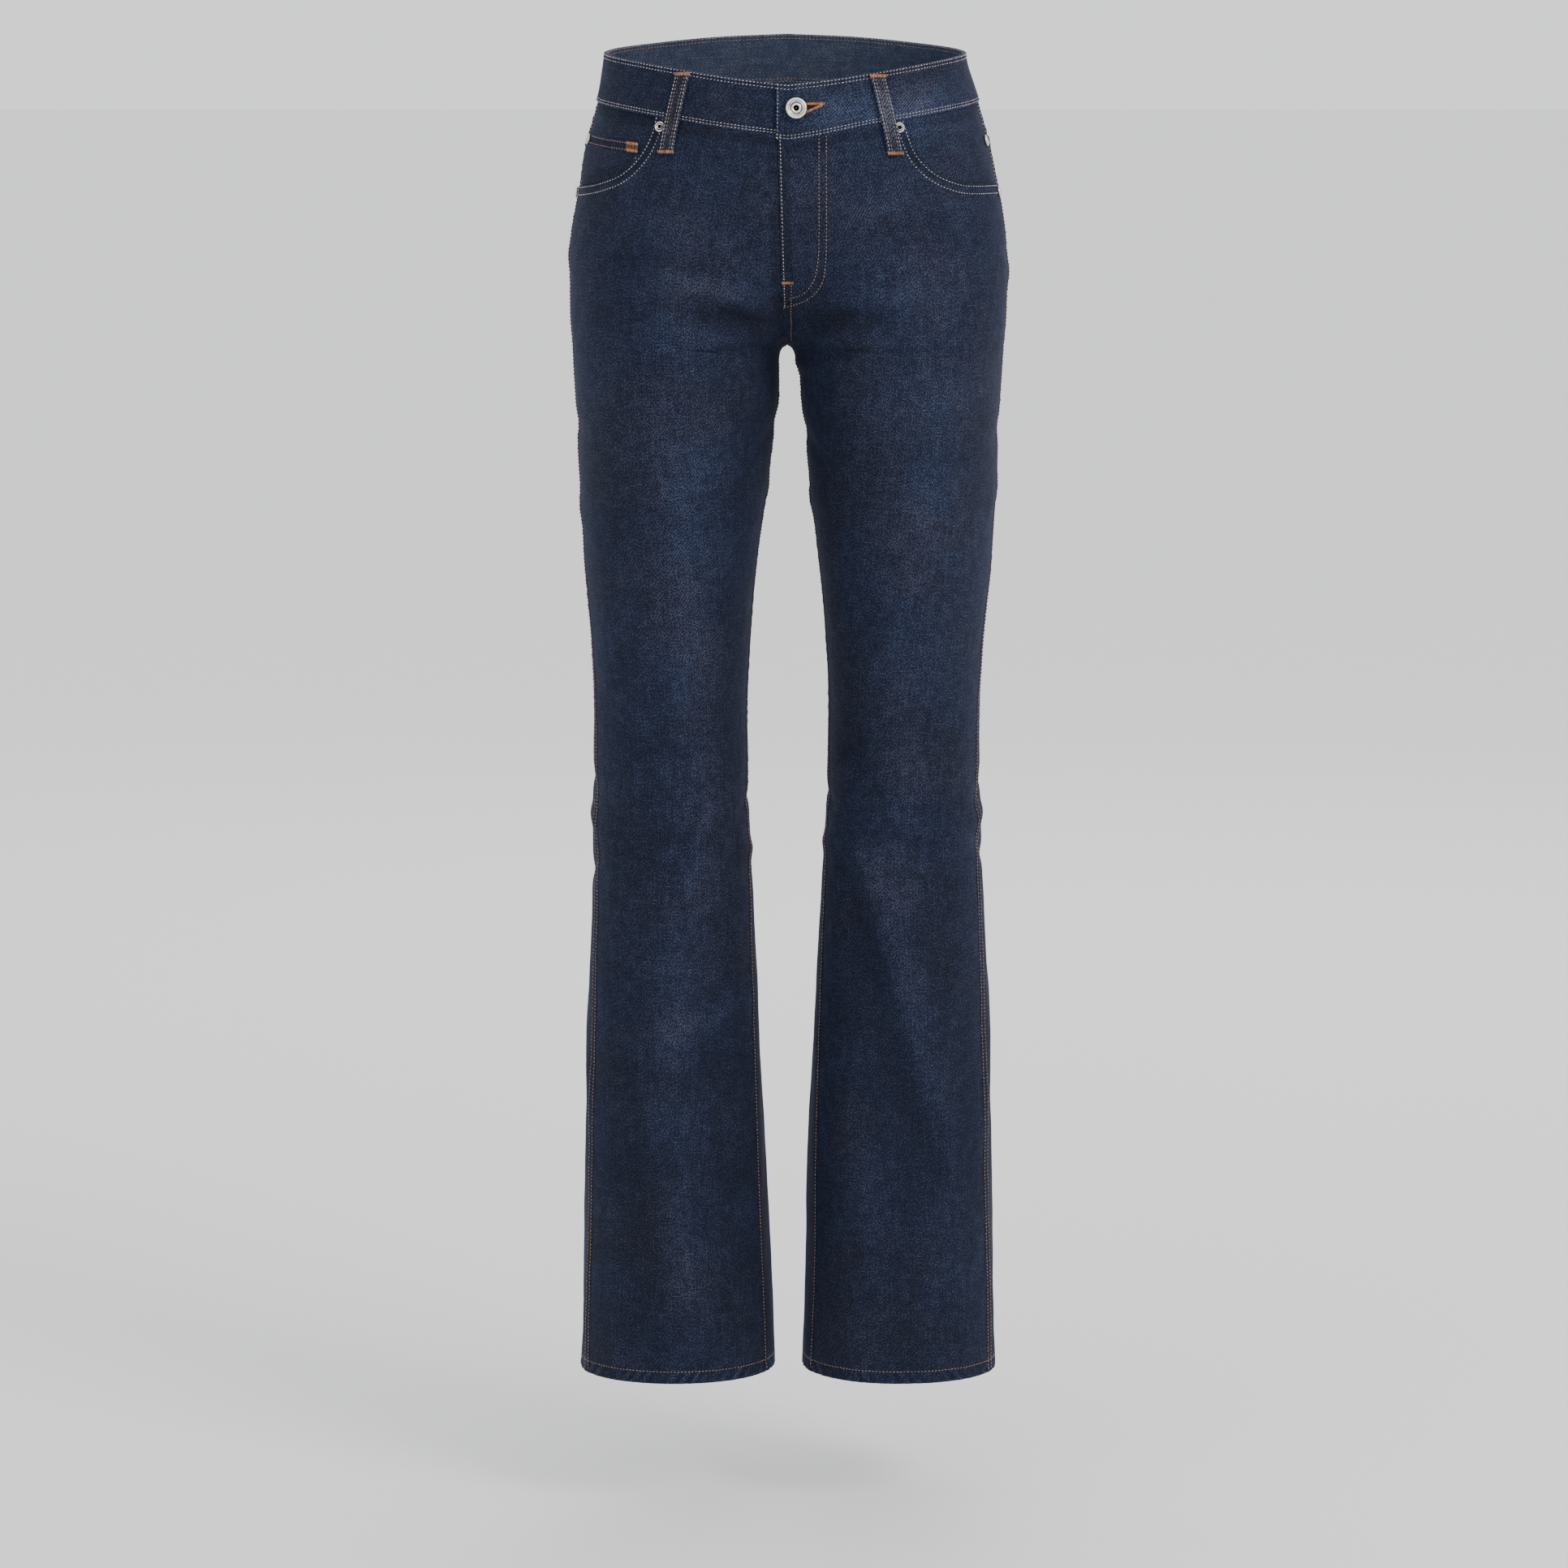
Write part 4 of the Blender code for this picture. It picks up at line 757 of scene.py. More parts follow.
def slab(name, outer, inside, normals, uv, wear, materials):
    """A closed sheet: an outer grid of points, an inner one under it, and a rim between them."""
    rows, columns = outer.shape[:2]
    count = rows * columns
    k = (np.arange(rows - 1)[:, None] * columns + np.arange(columns - 1)[None, :]).ravel()
    top = np.stack([k, k + 1, k + columns + 1, k + columns], axis=1)
    i, j = rows // 2, columns // 2
    way = np.cross(outer[i, j + 1] - outer[i, j], outer[i + 1, j] - outer[i, j])
    ring = list(range(columns)) + [r * columns + columns - 1 for r in range(1, rows)]
    ring += [count - 1 - c for c in range(1, columns)] + [r * columns for r in range(rows - 2, 0, -1)]
    ring = np.array(ring)
    on = np.roll(ring, -1)
    rim = np.stack([on, ring, ring + count, on + count], axis=1)
    faces = np.concatenate([top, top[:, ::-1] + count, rim])
    if way @ normals[i, j] < 0.0:
        faces = faces[:, ::-1]
    mesh = bpy.data.meshes.new(name)
    mesh.from_pydata(np.concatenate([outer.reshape(-1, 3), inside.reshape(-1, 3)]).tolist(), [], faces.tolist())
    for look in materials:
        mesh.materials.append(look)
    side_of = np.concatenate([np.zeros(len(top)), np.full(len(top), len(materials) - 1), np.zeros(len(rim))])
    mesh.polygons.foreach_set("material_index", side_of.astype(np.int32))
    corner = np.empty(len(mesh.loops), np.int32)
    mesh.loops.foreach_get("vertex_index", corner)
    flat_uv = np.tile(uv.reshape(-1, 2), (2, 1))
    mesh.uv_layers.new(name="cloth").data.foreach_set("uv", flat_uv[corner].ravel())
    flat_wear = np.tile(np.clip(wear, 0.0, 1.0).ravel(), 2)
    mesh.attributes.new("wear", "FLOAT", "POINT").data.foreach_set("value", flat_wear)
    mesh.shade_smooth()
    mesh.set_sharp_from_angle(angle=math.radians(CLOTH_SHARP))
    return in_scene(name, mesh)


def sheet(label, side, face, distance, z, to_edge, wall, materials, lift=0.0, seams=True):
    """One cut piece of cloth on the form, with turned edges and its pattern laid down the warp."""
    points, normals, inside, wear = cloth(side, face, distance, z, lift, seams)
    outer = points + normals * edge_curl(to_edge)[..., None]
    strip = ease((FELL_WIDTH - to_edge) / STEP) * ease((z - HEM_Z - HEM_FOLD) / (2.0 * HEM_STEP))
    wear = wear + EDGE_WEAR * np.exp(-((to_edge / STEP) ** 2)) - STRIP_DYE * strip
    inside = inside - normals * np.broadcast_to(wall, to_edge.shape)[..., None]
    from_out = -side * face * (distance - Section(side, face, z.ravel()).length.reshape(z.shape))
    uv = np.stack([from_out, z], axis=-1)
    return dressed(slab("denim_" + label, outer, inside, normals, uv, wear, materials), label)


def mouth_curve(side, count=90):
    """Pocket mouth as distances along the cloth and heights, from the waistband seam to the side seam."""
    names, *rows = MOUTH
    column = names.index("across_" + SIDE[side])
    across, z = np.array(rows)[:, column:column + 2].T
    key = walked(across, z)
    at = np.linspace(0.0, key[-1], count)
    across, z = hermite(key, across, at), hermite(key, z, at)
    section = Section(side, FRONT, z)
    distance = np.minimum(section.distance_to(across), section.length - SEAM_GAP / 2)
    first = int(np.argmax(z <= band_bottom(distance / section.length) - SEAM_GAP / 2))
    return distance[first:], z[first:]


def inner_edge(face, top_z):
    """The rise seam and the inseam: distance walked down them, and height."""
    curve = FRONT_RISE_CURVE if face == FRONT else BACK_RISE_CURVE
    turn = np.linspace(0.0, np.pi / 2, 60)
    bend = CROTCH_Z + min(curve, top_z - CROTCH_Z) * (1.0 - np.cos(turn))
    arch = CROTCH_Z - ARCH_HEIGHT * (1.0 - np.cos(turn))
    straight = np.linspace(top_z, bend[-1], 30)
    z = np.minimum.accumulate(np.concatenate([straight, bend[::-1], arch, np.linspace(arch[-1], HEM_Z, 200)]))
    section = Section(LEFT, face, z)
    return walked(section.inner, section.y_at(section.inner), z), z


def down_edge(walk, count):
    """Places down an edge: close lines at the top, even cells, and up to the hem's own lines."""
    end = walk[-1] - HEM_LINES[0]
    lines = np.array(EDGE_LINES[:6])
    return np.concatenate([lines, np.linspace(lines[-1], end, count + 1)[1:]])


def panel_top(side, face, share):
    """Height of a leg panel's top edge, from the rise seam (0) to the side seam (1)."""
    if face == BACK:
        return yoke_seam(share) - SEAM_GAP / 2
    lap = 1.0 if side == LEFT else 0.0
    return band_bottom(share) - lap * lap_drop(share) - SEAM_GAP / 2


def panel_side(side, face, z):
    """Distance along the cloth of a leg panel's edge at the side seam."""
    return Section(side, face, z).length - SEAM_GAP / 2 - seam_forward(face, "outseam", z)


def leg_panel(side, face, materials):
    """A leg panel as one sheet, from the waistband seam or the yoke seam down to the hem."""
    if face == FRONT:
        mouth_d, mouth_z = mouth_curve(side)
        mouth_low = mouth_z[-1]
        z = np.linspace(mouth_low, HEM_Z, EDGE_SAMPLES)[1:]
        outer_z = np.concatenate([mouth_z, z])
        outer_d = np.concatenate([mouth_d, panel_side(side, face, z)])
    else:
        mouth_low = float(panel_top(side, face, 1.0))
        outer_z = np.linspace(mouth_low, HEM_Z, EDGE_SAMPLES)
        outer_d = panel_side(side, face, outer_z)
    outer_walk = walked(outer_d, outer_z)
    walk, z = inner_edge(face, float(panel_top(side, face, 0.0)))
    hem = HEM_Z + np.array(HEM_LINES[1:])
    down = down_edge(walk, PANEL_ROWS)
    inner_z = np.concatenate([np.interp(down, walk, z), hem])
    along = down_edge(outer_walk, PANEL_ROWS)
    hem_d = np.interp(outer_walk[-1] - np.array(HEM_LINES[1:]), outer_walk, outer_d)
    outer_d = np.concatenate([np.interp(along, outer_walk, outer_d), hem_d])
    outer_z = np.concatenate([np.interp(along, outer_walk, outer_z), hem])
    outer_d = np.where(outer_z < mouth_low, panel_side(side, face, outer_z), outer_d)
    inner_d = SEAM_GAP / 2 + seam_forward(face, "inseam", inner_z)
    if face == FRONT:
        inner_d = inner_d + side * fly_edge(inner_z)
    places, to_edge = spread(outer_d - inner_d, EDGE_LINES, PANEL_COLUMNS)
    share = places / places[:, -1:]
    # Rows keep the side edge's heights and bend towards the inner edge's, which fall faster round the crotch
    part = np.linspace(0.0, 1.0, len(outer_d))[:, None]
    lean = 1.0 + ROW_LEAN * (ease((part - ROW_LEAN_START) / ROW_LEAN_SPAN) if face == FRONT else 1.0)
    z = outer_z[:, None] + (inner_z - outer_z)[:, None] * (1.0 - share) ** lean
    distance = inner_d[:, None] + places
    top_share = distance[0] / Section(side, face, z[0]).length
    z = z + (panel_top(side, face, top_share) - z[0])[None, :] * (1.0 - ease(part / TOP_SPAN))
    from_top = np.concatenate([down, np.full(len(hem), 1.0)])[:, None]
    to_edge = np.minimum(np.minimum(to_edge, from_top), z - HEM_Z)
    wall = np.where(z < HEM_Z + HEM_FOLD, HEM_WALL, WALL)
    return sheet(FACE[face] + "_" + SIDE[side], side, face, distance, z, to_edge, wall, materials)


def patch(label, side, face, distances, top_z, low_z, rows, wall, materials, lift=0.0, seams=True):
    """A sheet between two edges of heights, at columns of distances along the cloth."""
    drop, to_ends = spread(top_z - low_z, EDGE_LINES[:7], rows)
    z = top_z[:, None] - drop
    distance = np.broadcast_to(distances[:, None], z.shape)
    to_edge = np.minimum(to_ends, np.minimum(distance - distances[0], distances[-1] - distance))
    return sheet(label, side, face, distance.T, z.T, to_edge.T, wall, materials, lift, seams)


def yoke(side, materials):
    """A back yoke between the waistband seam and the yoke seam."""
    z = np.full(1, 0.5 * (YOKE_BACK_Z + float(band_bottom(2.0))))
    length = Section(side, BACK, z).length[0]
    share = spread(length - SEAM_GAP, EDGE_LINES, 60)[0][0] / (length - SEAM_GAP)
    top, low = band_bottom(2.0 - share) - SEAM_GAP / 2, yoke_seam(share) + SEAM_GAP / 2
    drop, to_ends = spread(top - low, EDGE_LINES, 12)
    z = (top[:, None] - drop).T
    wide = Section(side, BACK, z.ravel()).length.reshape(z.shape)
    distance = SEAM_GAP / 2 + share[None, :] * (wide - SEAM_GAP)
    to_edge = np.minimum(to_ends.T, np.minimum(distance, wide - distance))
    strip = FELL_HEIGHT * ease((FELL_WIDTH - (z - low[None, :])) / STEP)
    return sheet("yoke_" + SIDE[side], side, BACK, distance, z, to_edge, WALL, materials, strip)


def facing(side, materials):
    """The pocket facing behind a front pocket's mouth."""
    mouth_d = mouth_curve(side)[0]
    z = np.linspace(band_bottom(0.8) - SEAM_GAP / 2, FACING_LOW_Z, 34)
    length = Section(side, FRONT, z).length - SEAM_GAP / 2
    first = mouth_d[0] - FACING_LAP
    places, to_edge = spread(length - first, EDGE_LINES[:7], 30)
    distance = first + places
    share = distance[0] / length[0]
    top = band_bottom(share) - SEAM_GAP / 2
    part = np.linspace(0.0, 1.0, len(z))[:, None]
    z = top[None, :] + (FACING_LOW_Z - top)[None, :] * part
    to_edge = np.minimum(to_edge, (top[None, :] - z) + 0.0001)
    return sheet("facing_" + SIDE[side], side, FRONT, distance, z, to_edge, WALL, materials, FACING_LIFT)


def coin_ends():
    """Where the coin pocket begins, towards the fly, and where its facing ends, as distances along the cloth."""
    section = Section(RIGHT, FRONT, [COIN_TOP_Z])
    return section.distance_to(np.array([COIN_INNER_X]))[0], section.length[0]


def coin_top(distance):
    """Height of the coin pocket's hem, which falls a little towards the fly."""
    return COIN_TOP_Z + COIN_RAISE - COIN_TILT * (coin_ends()[1] - distance - COIN_FAR)


def coin_pocket(materials):
    """The small pocket on the right facing, hemmed at its top, down to the mouth's edge."""
    first, end = coin_ends()
    distances = first + spread(end - COIN_GAP - first, EDGE_LINES[:7], 24)[0][0]
    low = np.interp(distances, *mouth_curve(RIGHT)) + LAYER_GAP
    return patch("coin_pocket", RIGHT, FRONT, distances, coin_top(distances), low, 22, COIN_WALL, materials, COIN_LIFT)


def pocket_places(u, v):
    """Height and distance from the middle of a place on a back pocket: u across from -1 to 1, v down from 0 to 1."""
    half = 0.5 * (POCKET_WIDTH + (POCKET_LOW_WIDTH - POCKET_WIDTH) * v)
    depth = POCKET_HEIGHT - POCKET_POINT * abs(u)
    return POCKET_MIDDLE_X + u * half, POCKET_TOP_Z - v * depth


def back_pocket(side, materials):
    """A patch pocket on a back panel, with its point at the bottom."""
    across_line, to_sides = spread(POCKET_WIDTH, EDGE_LINES, 34)
    down_line, to_ends = spread(POCKET_HEIGHT, EDGE_LINES, 40)
    u, v = 2.0 * across_line / POCKET_WIDTH - 1.0, down_line.T / POCKET_HEIGHT
    across, z = np.broadcast_arrays(*pocket_places(u, v))
    distance = Section(side, BACK, z.ravel()).distance_to(across.ravel()).reshape(z.shape)
    to_edge = np.minimum(to_sides, to_ends.T)
    lift = POCKET_LIFT + POCKET_HEM_LIFT * ease((POCKET_HEM - (POCKET_TOP_Z - z)) / STEP)
    return sheet("pocket_" + SIDE[side], side, BACK, distance, z, to_edge, POCKET_WALL, materials, lift)


def fly_shield(materials):
    """The strip behind the fly that closes the front opening."""
    distances = np.linspace(SHIELD_RIGHT, SHIELD_LEFT, SHIELD_COLUMNS)
    top = np.full(SHIELD_COLUMNS, float(band_bottom(0.0)) - SEAM_GAP / 2)
    low = np.full(SHIELD_COLUMNS, SHIELD_END_Z)
    lift = -WALL - SHIELD_GAP - SHIELD_SINK
    return patch("fly_shield", LEFT, FRONT, distances, top, low, 50, WALL, materials, lift, False)


def band_surface(quarters, down, lift=0.0):
    """Waistband at quarter turns and shares of its height: points, normals, inner points and wear."""
    quarters, down, lift = np.broadcast_arrays(np.asarray(quarters, float), down, lift)
    shape = quarters.shape
    q, part, flat_lift = quarters.ravel(), down.ravel(), lift.ravel()
    sunk = ease((q - BAND_SINK_START) / (BAND_SINK_END + BAND_START - BAND_SINK_START)) * (BAND_WALL + LAYER_GAP)
    low = band_bottom(q) - np.where(q < 2.0, lap_drop(q), 0.0) + SEAM_GAP / 2
    z = band_top(q) + (low - band_top(q)) * part
    quarter = np.clip(np.ceil(q).astype(int), 1, 4)
    made = [np.empty((len(q), 3)) for _ in range(3)] + [np.empty(len(q))]
    for number, side, face in ((1, LEFT, FRONT), (2, LEFT, BACK), (3, RIGHT, BACK), (4, RIGHT, FRONT)):
        here = quarter == number
        if not here.any():
            continue
        share = {1: q, 2: 2.0 - q, 3: q - 2.0, 4: 4.0 - q}[number][here]
        distance = share * Section(side, face, z[here]).length
        edge_way = BAND_HEIGHT * np.minimum(part[here], 1.0 - part[here])
        quilt = PUCKER_HEIGHT * pucker(q[here] * QUARTER, PUCKER_PITCH, 5.0)
        quilt *= np.exp(-((edge_way / BAND_PUCKER_REACH) ** 2))
        lap = LAP_STAND * ease((LAP_STAND_END - (q[here] - BAND_START)) / LAP_STAND_END)
        raised = BAND_PROUD - sunk[here] + flat_lift[here] + quilt + lap
        result = cloth(side, face, distance, z[here], raised, False)
        for whole, values in zip(made, result):
            whole[here] = values
    return [whole.reshape(shape + (3,)) for whole in made[:3]] + [made[3].reshape(shape)]


def waistband(materials):
    """The doubled strip round the waist, whose left end laps over its right end."""
    along = spread((BAND_END - BAND_START) * QUARTER, EDGE_LINES[:7], 420)
    quarters = BAND_START + along[0][0] / QUARTER
    down = spread(BAND_HEIGHT, EDGE_LINES[:8], 12)
    to_edge = np.minimum(down[1].T, along[1])
    points, normals, inside, wear = band_surface(quarters[None, :], down[0].T / BAND_HEIGHT)
    curl = edge_curl(to_edge, BAND_EDGE)[..., None]
    wear = wear + EDGE_WEAR * np.exp(-((to_edge / STEP) ** 2))
    uv = np.stack(np.broadcast_arrays(-down[0].T, quarters[None, :] * QUARTER), axis=-1)
    inner = inside - normals * (BAND_WALL + 0.5 * curl)
    return dressed(slab("denim_waistband", points + normals * curl, inner, normals, uv, wear, materials), "waistband")


def loop_surface(loop, along, shift, lift=0.0):
    """A belt loop's outer face at shares of its length and distances from its middle line."""
    along, shift, lift = np.broadcast_arrays(along, shift, lift)
    z = loop.z_top + (loop.z_low - loop.z_top) * along
    middle = loop.distance_top + (loop.distance_low - loop.distance_top) * along
    bow = LOOP_TOP_LIFT + (LAYER_GAP - LOOP_TOP_LIFT) * along + LOOP_RISE * np.sin(np.pi * along) ** LOOP_BOW
    return cloth(loop.side, loop.face, middle + shift, z, bow + LOOP_WALL + lift, False)


def belt_loop(loop, materials):
    """A belt loop: a strip with its edges turned in, standing off the waistband between its sewn ends."""
    length = loop.z_top - loop.z_low
    along, to_ends = spread(length, EDGE_LINES[:6], 40)
    shift, to_sides = spread(LOOP_WIDTH, EDGE_LINES[:5], 8)
    points, normals, inside, wear = loop_surface(loop, along.T / length, shift - LOOP_WIDTH / 2)
    to_edge = np.minimum(to_ends.T, to_sides)
    groove = -LOOP_GROOVE * np.exp(-(((shift - LOOP_WIDTH / 2) / LOOP_GROOVE_WIDTH) ** 2))
    outer = points + normals * (edge_curl(to_edge, LOOP_EDGE) + groove)[..., None]
    wear = wear + EDGE_WEAR * np.exp(-((to_edge / STEP) ** 2)) + LOOP_WEAR
    uv = np.stack(np.broadcast_arrays(shift, -along.T), axis=-1)
    made = slab("denim_" + loop.name, outer, inside - normals * LOOP_WALL, normals, uv, wear, materials)
    return dressed(made, loop.name)


def dressed(piece, *nodes, slot="denim"):
    """Rides on the one body and stands for its CAD nodes, which it hides; slot is not used."""
    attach(piece, "root")
    if nodes:
        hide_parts(*nodes)
    return piece


def linear(hex_colour):
    """An sRGB hex colour as linear RGBA."""
    channels = [int(hex_colour[k:k + 2], 16) / 255.0 for k in (1, 3, 5)]
    return tuple(c / 12.92 if c <= 0.04045 else ((c + 0.055) / 1.055) ** 2.4 for c in channels) + (1.0,)


# Settings that every node of a kind has here
USUAL = {"ShaderNodeMapRange": {"interpolation_type": "SMOOTHSTEP"}, "ShaderNodeMix": {"data_type": "RGBA"}}
MIXED = 2


def add(tree, kind, links=(), **settings):
    """Add a node to a shader or geometry tree: its settings, and what goes into its sockets, in order or by name.

    That is a value, another node's output, or a node for its first output.
    """
    made = tree.nodes.new(kind)
    for name, value in (USUAL.get(kind, {}) | settings).items():
        setattr(made, name, value)
    for socket, source in links.items() if isinstance(links, dict) else enumerate(links):
        if isinstance(source, bpy.types.Node):
            source = source.outputs[0]
        if isinstance(source, bpy.types.NodeSocket):
            tree.links.new(source, made.inputs[socket])
        else:
            made.inputs[socket].default_value = source
    return made


def material(name, surface, *given):
    """A material by a function that makes its pattern and returns what goes into its Principled shader."""
    made = bpy.data.materials.new(name)
    made.use_nodes = True
    tree = made.node_tree
    tree.nodes.clear()
    shader = add(tree, "ShaderNodeBsdfPrincipled", surface(partial(add, tree), *given))
    add(tree, "ShaderNodeOutputMaterial", {"Surface": shader})
    return made


def denim(node, deep, faded, cool, warm, points_worn):
    """Right-hand twill of blue warp over pale weft, woven and rinsed.

    Deep and faded are the warp before and after rubbing; cool and warm are the weft that shows between as points.
    The rows of the twill are 0.9 mm apart in the real cloth and 2.4 mm here, and its points 1.2 mm, so that they
    show at this size.
    """
    uv = node("ShaderNodeUVMap", uv_map="cloth")
    wear = node("ShaderNodeAttribute", attribute_name="wear").outputs["Fac"]
    place = node("ShaderNodeTexCoord").outputs["Object"]
    # Uneven dyeing and rinsing, in clouds of some centimetres
    clouds = node("ShaderNodeTexNoise", (place, 0.0, 22.0, 3.0, 0.55))
    mottle = node("ShaderNodeTexNoise", (place, 0.0, 130.0, 3.0, 0.6))
    # Thicker places in the yarn: long thin streaks down the warp and short ones across
    stretched = [node("ShaderNodeVectorMath", (uv, scale), operation="MULTIPLY") for scale in (
        (800.0, 30.0, 1.0), (40.0, 800.0, 1.0), (1.0 / POINT_ACROSS, 1.0 / POINT_ALONG, 1.0))]
    warp_slub, weft_slub = (node("ShaderNodeTexNoise", (at, 0.0, 1.0, 2.0, 0.6)) for at in stretched[:2])
    fade = wear
    for source, drift in ((clouds, 0.05), (mottle, 0.09), (warp_slub, 0.08), (weft_slub, 0.05)):
        change = node("ShaderNodeMapRange", (source, 0.3, 0.7, -drift, drift))
        fade = node("ShaderNodeMath", (fade, change), operation="ADD", use_clamp=source == weft_slub)
    warp = node("ShaderNodeMix", {0: fade, 6: linear(deep), 7: linear(faded)}).outputs[MIXED]
    # Rows of the twill, and the points of weft along each
    split = node("ShaderNodeSeparateXYZ", (uv,))
    across = node("ShaderNodeMath", (split.outputs["X"], 2.0 * math.pi / TWILL_ACROSS), operation="MULTIPLY")
    along = node("ShaderNodeMath", (split.outputs["Y"], -2.0 * math.pi / TWILL_ALONG), operation="MULTIPLY")
    slant = node("ShaderNodeMath", (across, along), operation="ADD")
    bend = node("ShaderNodeMapRange", (mottle, 0.2, 0.8, -1.5, 1.5))
    row = node("ShaderNodeMath", (node("ShaderNodeMath", (slant, bend), operation="ADD"),), operation="SINE")
    grain = node("ShaderNodeTexNoise", (stretched[2], 0.0, 1.0, 1.0, 0.5))
    # Points show more along the rows and where the cloth is worn
    on_rows = node("ShaderNodeMath", (row, fade), operation="MULTIPLY")
    lit = node("ShaderNodeMath", (on_rows, 0.16, grain), operation="MULTIPLY_ADD")
    lit = node("ShaderNodeMath", (fade, 0.12, lit), operation="MULTIPLY_ADD")
    points = node("ShaderNodeMapRange", (lit, 0.50, 0.67))
    strength = node("ShaderNodeMapRange", (fade, 0.0, 0.9, 0.09, points_worn))
    shown = node("ShaderNodeMath", (points, strength), operation="MULTIPLY")
    tint = node("ShaderNodeMapRange", (node("ShaderNodeTexNoise", (place, 0.0, 13.0, 2.0, 0.5)), 0.38, 0.62))
    weft = node("ShaderNodeMix", {0: tint, 6: linear(cool), 7: linear(warm)}).outputs[MIXED]
    rough = node("ShaderNodeMath", (grain, warp_slub), operation="ADD")
    height = node("ShaderNodeMath", (row, 0.30, rough), operation="MULTIPLY_ADD")
    return {
        "Base Color": node("ShaderNodeMix", {0: shown, 6: warp, 7: weft}).outputs[MIXED],
        "Normal": node("ShaderNodeBump", {"Strength": 0.6, "Distance": 0.0004, "Height": height}),
        "Roughness": node("ShaderNodeMapRange", (fade, 0.0, 1.0, 0.90, 0.76)),
        "Specular IOR Level": 0.2, "Sheen Weight": 0.07, "Sheen Roughness": 0.45, "Sheen Tint": linear("#6675ac"),
    }


def thread(node, dark, light):
    """Twisted sewing thread: each stitch has its own shade, and fine plies across it."""
    shade = node("ShaderNodeAttribute", attribute_name="shade").outputs["Fac"]
    fluff = node("ShaderNodeTexNoise", (node("ShaderNodeTexCoord").outputs["Object"], 0.0, 2600.0, 3.0, 0.6))
    plies = node("ShaderNodeMapRange", (fluff, 0.3, 0.7, 0.0, 0.35))
    share = node("ShaderNodeMath", (shade, 0.65, plies), operation="MULTIPLY_ADD", use_clamp=True)
    return {
        "Base Color": node("ShaderNodeMix", {0: share, 6: linear(dark), 7: linear(light)}).outputs[MIXED],
        "Normal": node("ShaderNodeBump", {"Strength": 0.5, "Distance": 0.00015, "Height": fluff}),
        "Roughness": node("ShaderNodeMapRange", (fluff, 0.2, 0.8, 0.50, 0.66)),
        "Specular IOR Level": 0.35, "Sheen Weight": 0.20,
    }


def metal(node, dark, light, rough):
    """Plated metal: rubbed bright, dark in its hollows from patina and painted shade, with stains and fine scuffs."""
    place = node("ShaderNodeTexCoord").outputs["Object"]
    # Patina and painted shade: dark in the grooves, the recess and the underside
    patina = node("ShaderNodeAttribute", attribute_name="patina").outputs["Fac"]
    stain = node("ShaderNodeTexNoise", (place, 0.0, 420.0, 4.0, 0.6))
    scuff = node("ShaderNodeTexNoise", (place, 0.0, 1900.0, 3.0, 0.65))
    stained = node("ShaderNodeMapRange", (stain, 0.42, 0.75, 0.0, 0.35))
    tarnish_and_shade = node("ShaderNodeMath", (patina, stained), operation="ADD", use_clamp=True)
    return {
        "Base Color": node("ShaderNodeMix", {0: tarnish_and_shade, 6: linear(light), 7: linear(dark)}).outputs[MIXED],
        "Normal": node("ShaderNodeBump", {"Strength": 0.3, "Distance": 0.00008, "Height": scuff}),
        "Roughness": node("ShaderNodeMapRange", (scuff, 0.3, 0.7, rough - 0.07, rough + 0.10)),
        "Metallic": 1.0,
    }


def plain(node, dark, light, size, rough):
    """A quiet matt surface with a slight drift of tone."""
    drift = node("ShaderNodeTexNoise", (node("ShaderNodeTexCoord").outputs["Object"], 0.0, size, 3.0, 0.5))
    return {
        "Base Color": node("ShaderNodeMix", {0: drift, 6: linear(dark), 7: linear(light)}).outputs[MIXED],
        "Roughness": node("ShaderNodeMapRange", (drift, 0.2, 0.8, rough - 0.05, rough + 0.05)),
        "Specular IOR Level": 0.2,
    }


def new_tree(name, inputs, result):
    """A Geometry Nodes group with named inputs: itself, what adds its nodes, and its input sockets."""
    tree = bpy.data.node_groups.new(name, "GeometryNodeTree")
    for label, value in inputs.items():
        kind = value if isinstance(value, str) else "Float"
        socket = tree.interface.new_socket(label, in_out="INPUT", socket_type="NodeSocket" + kind)
        if value != kind:
            socket.default_value = value
    tree.interface.new_socket(result, in_out="OUTPUT", socket_type="NodeSocketGeometry")
    return tree, partial(add, tree), add(tree, "NodeGroupInput").outputs


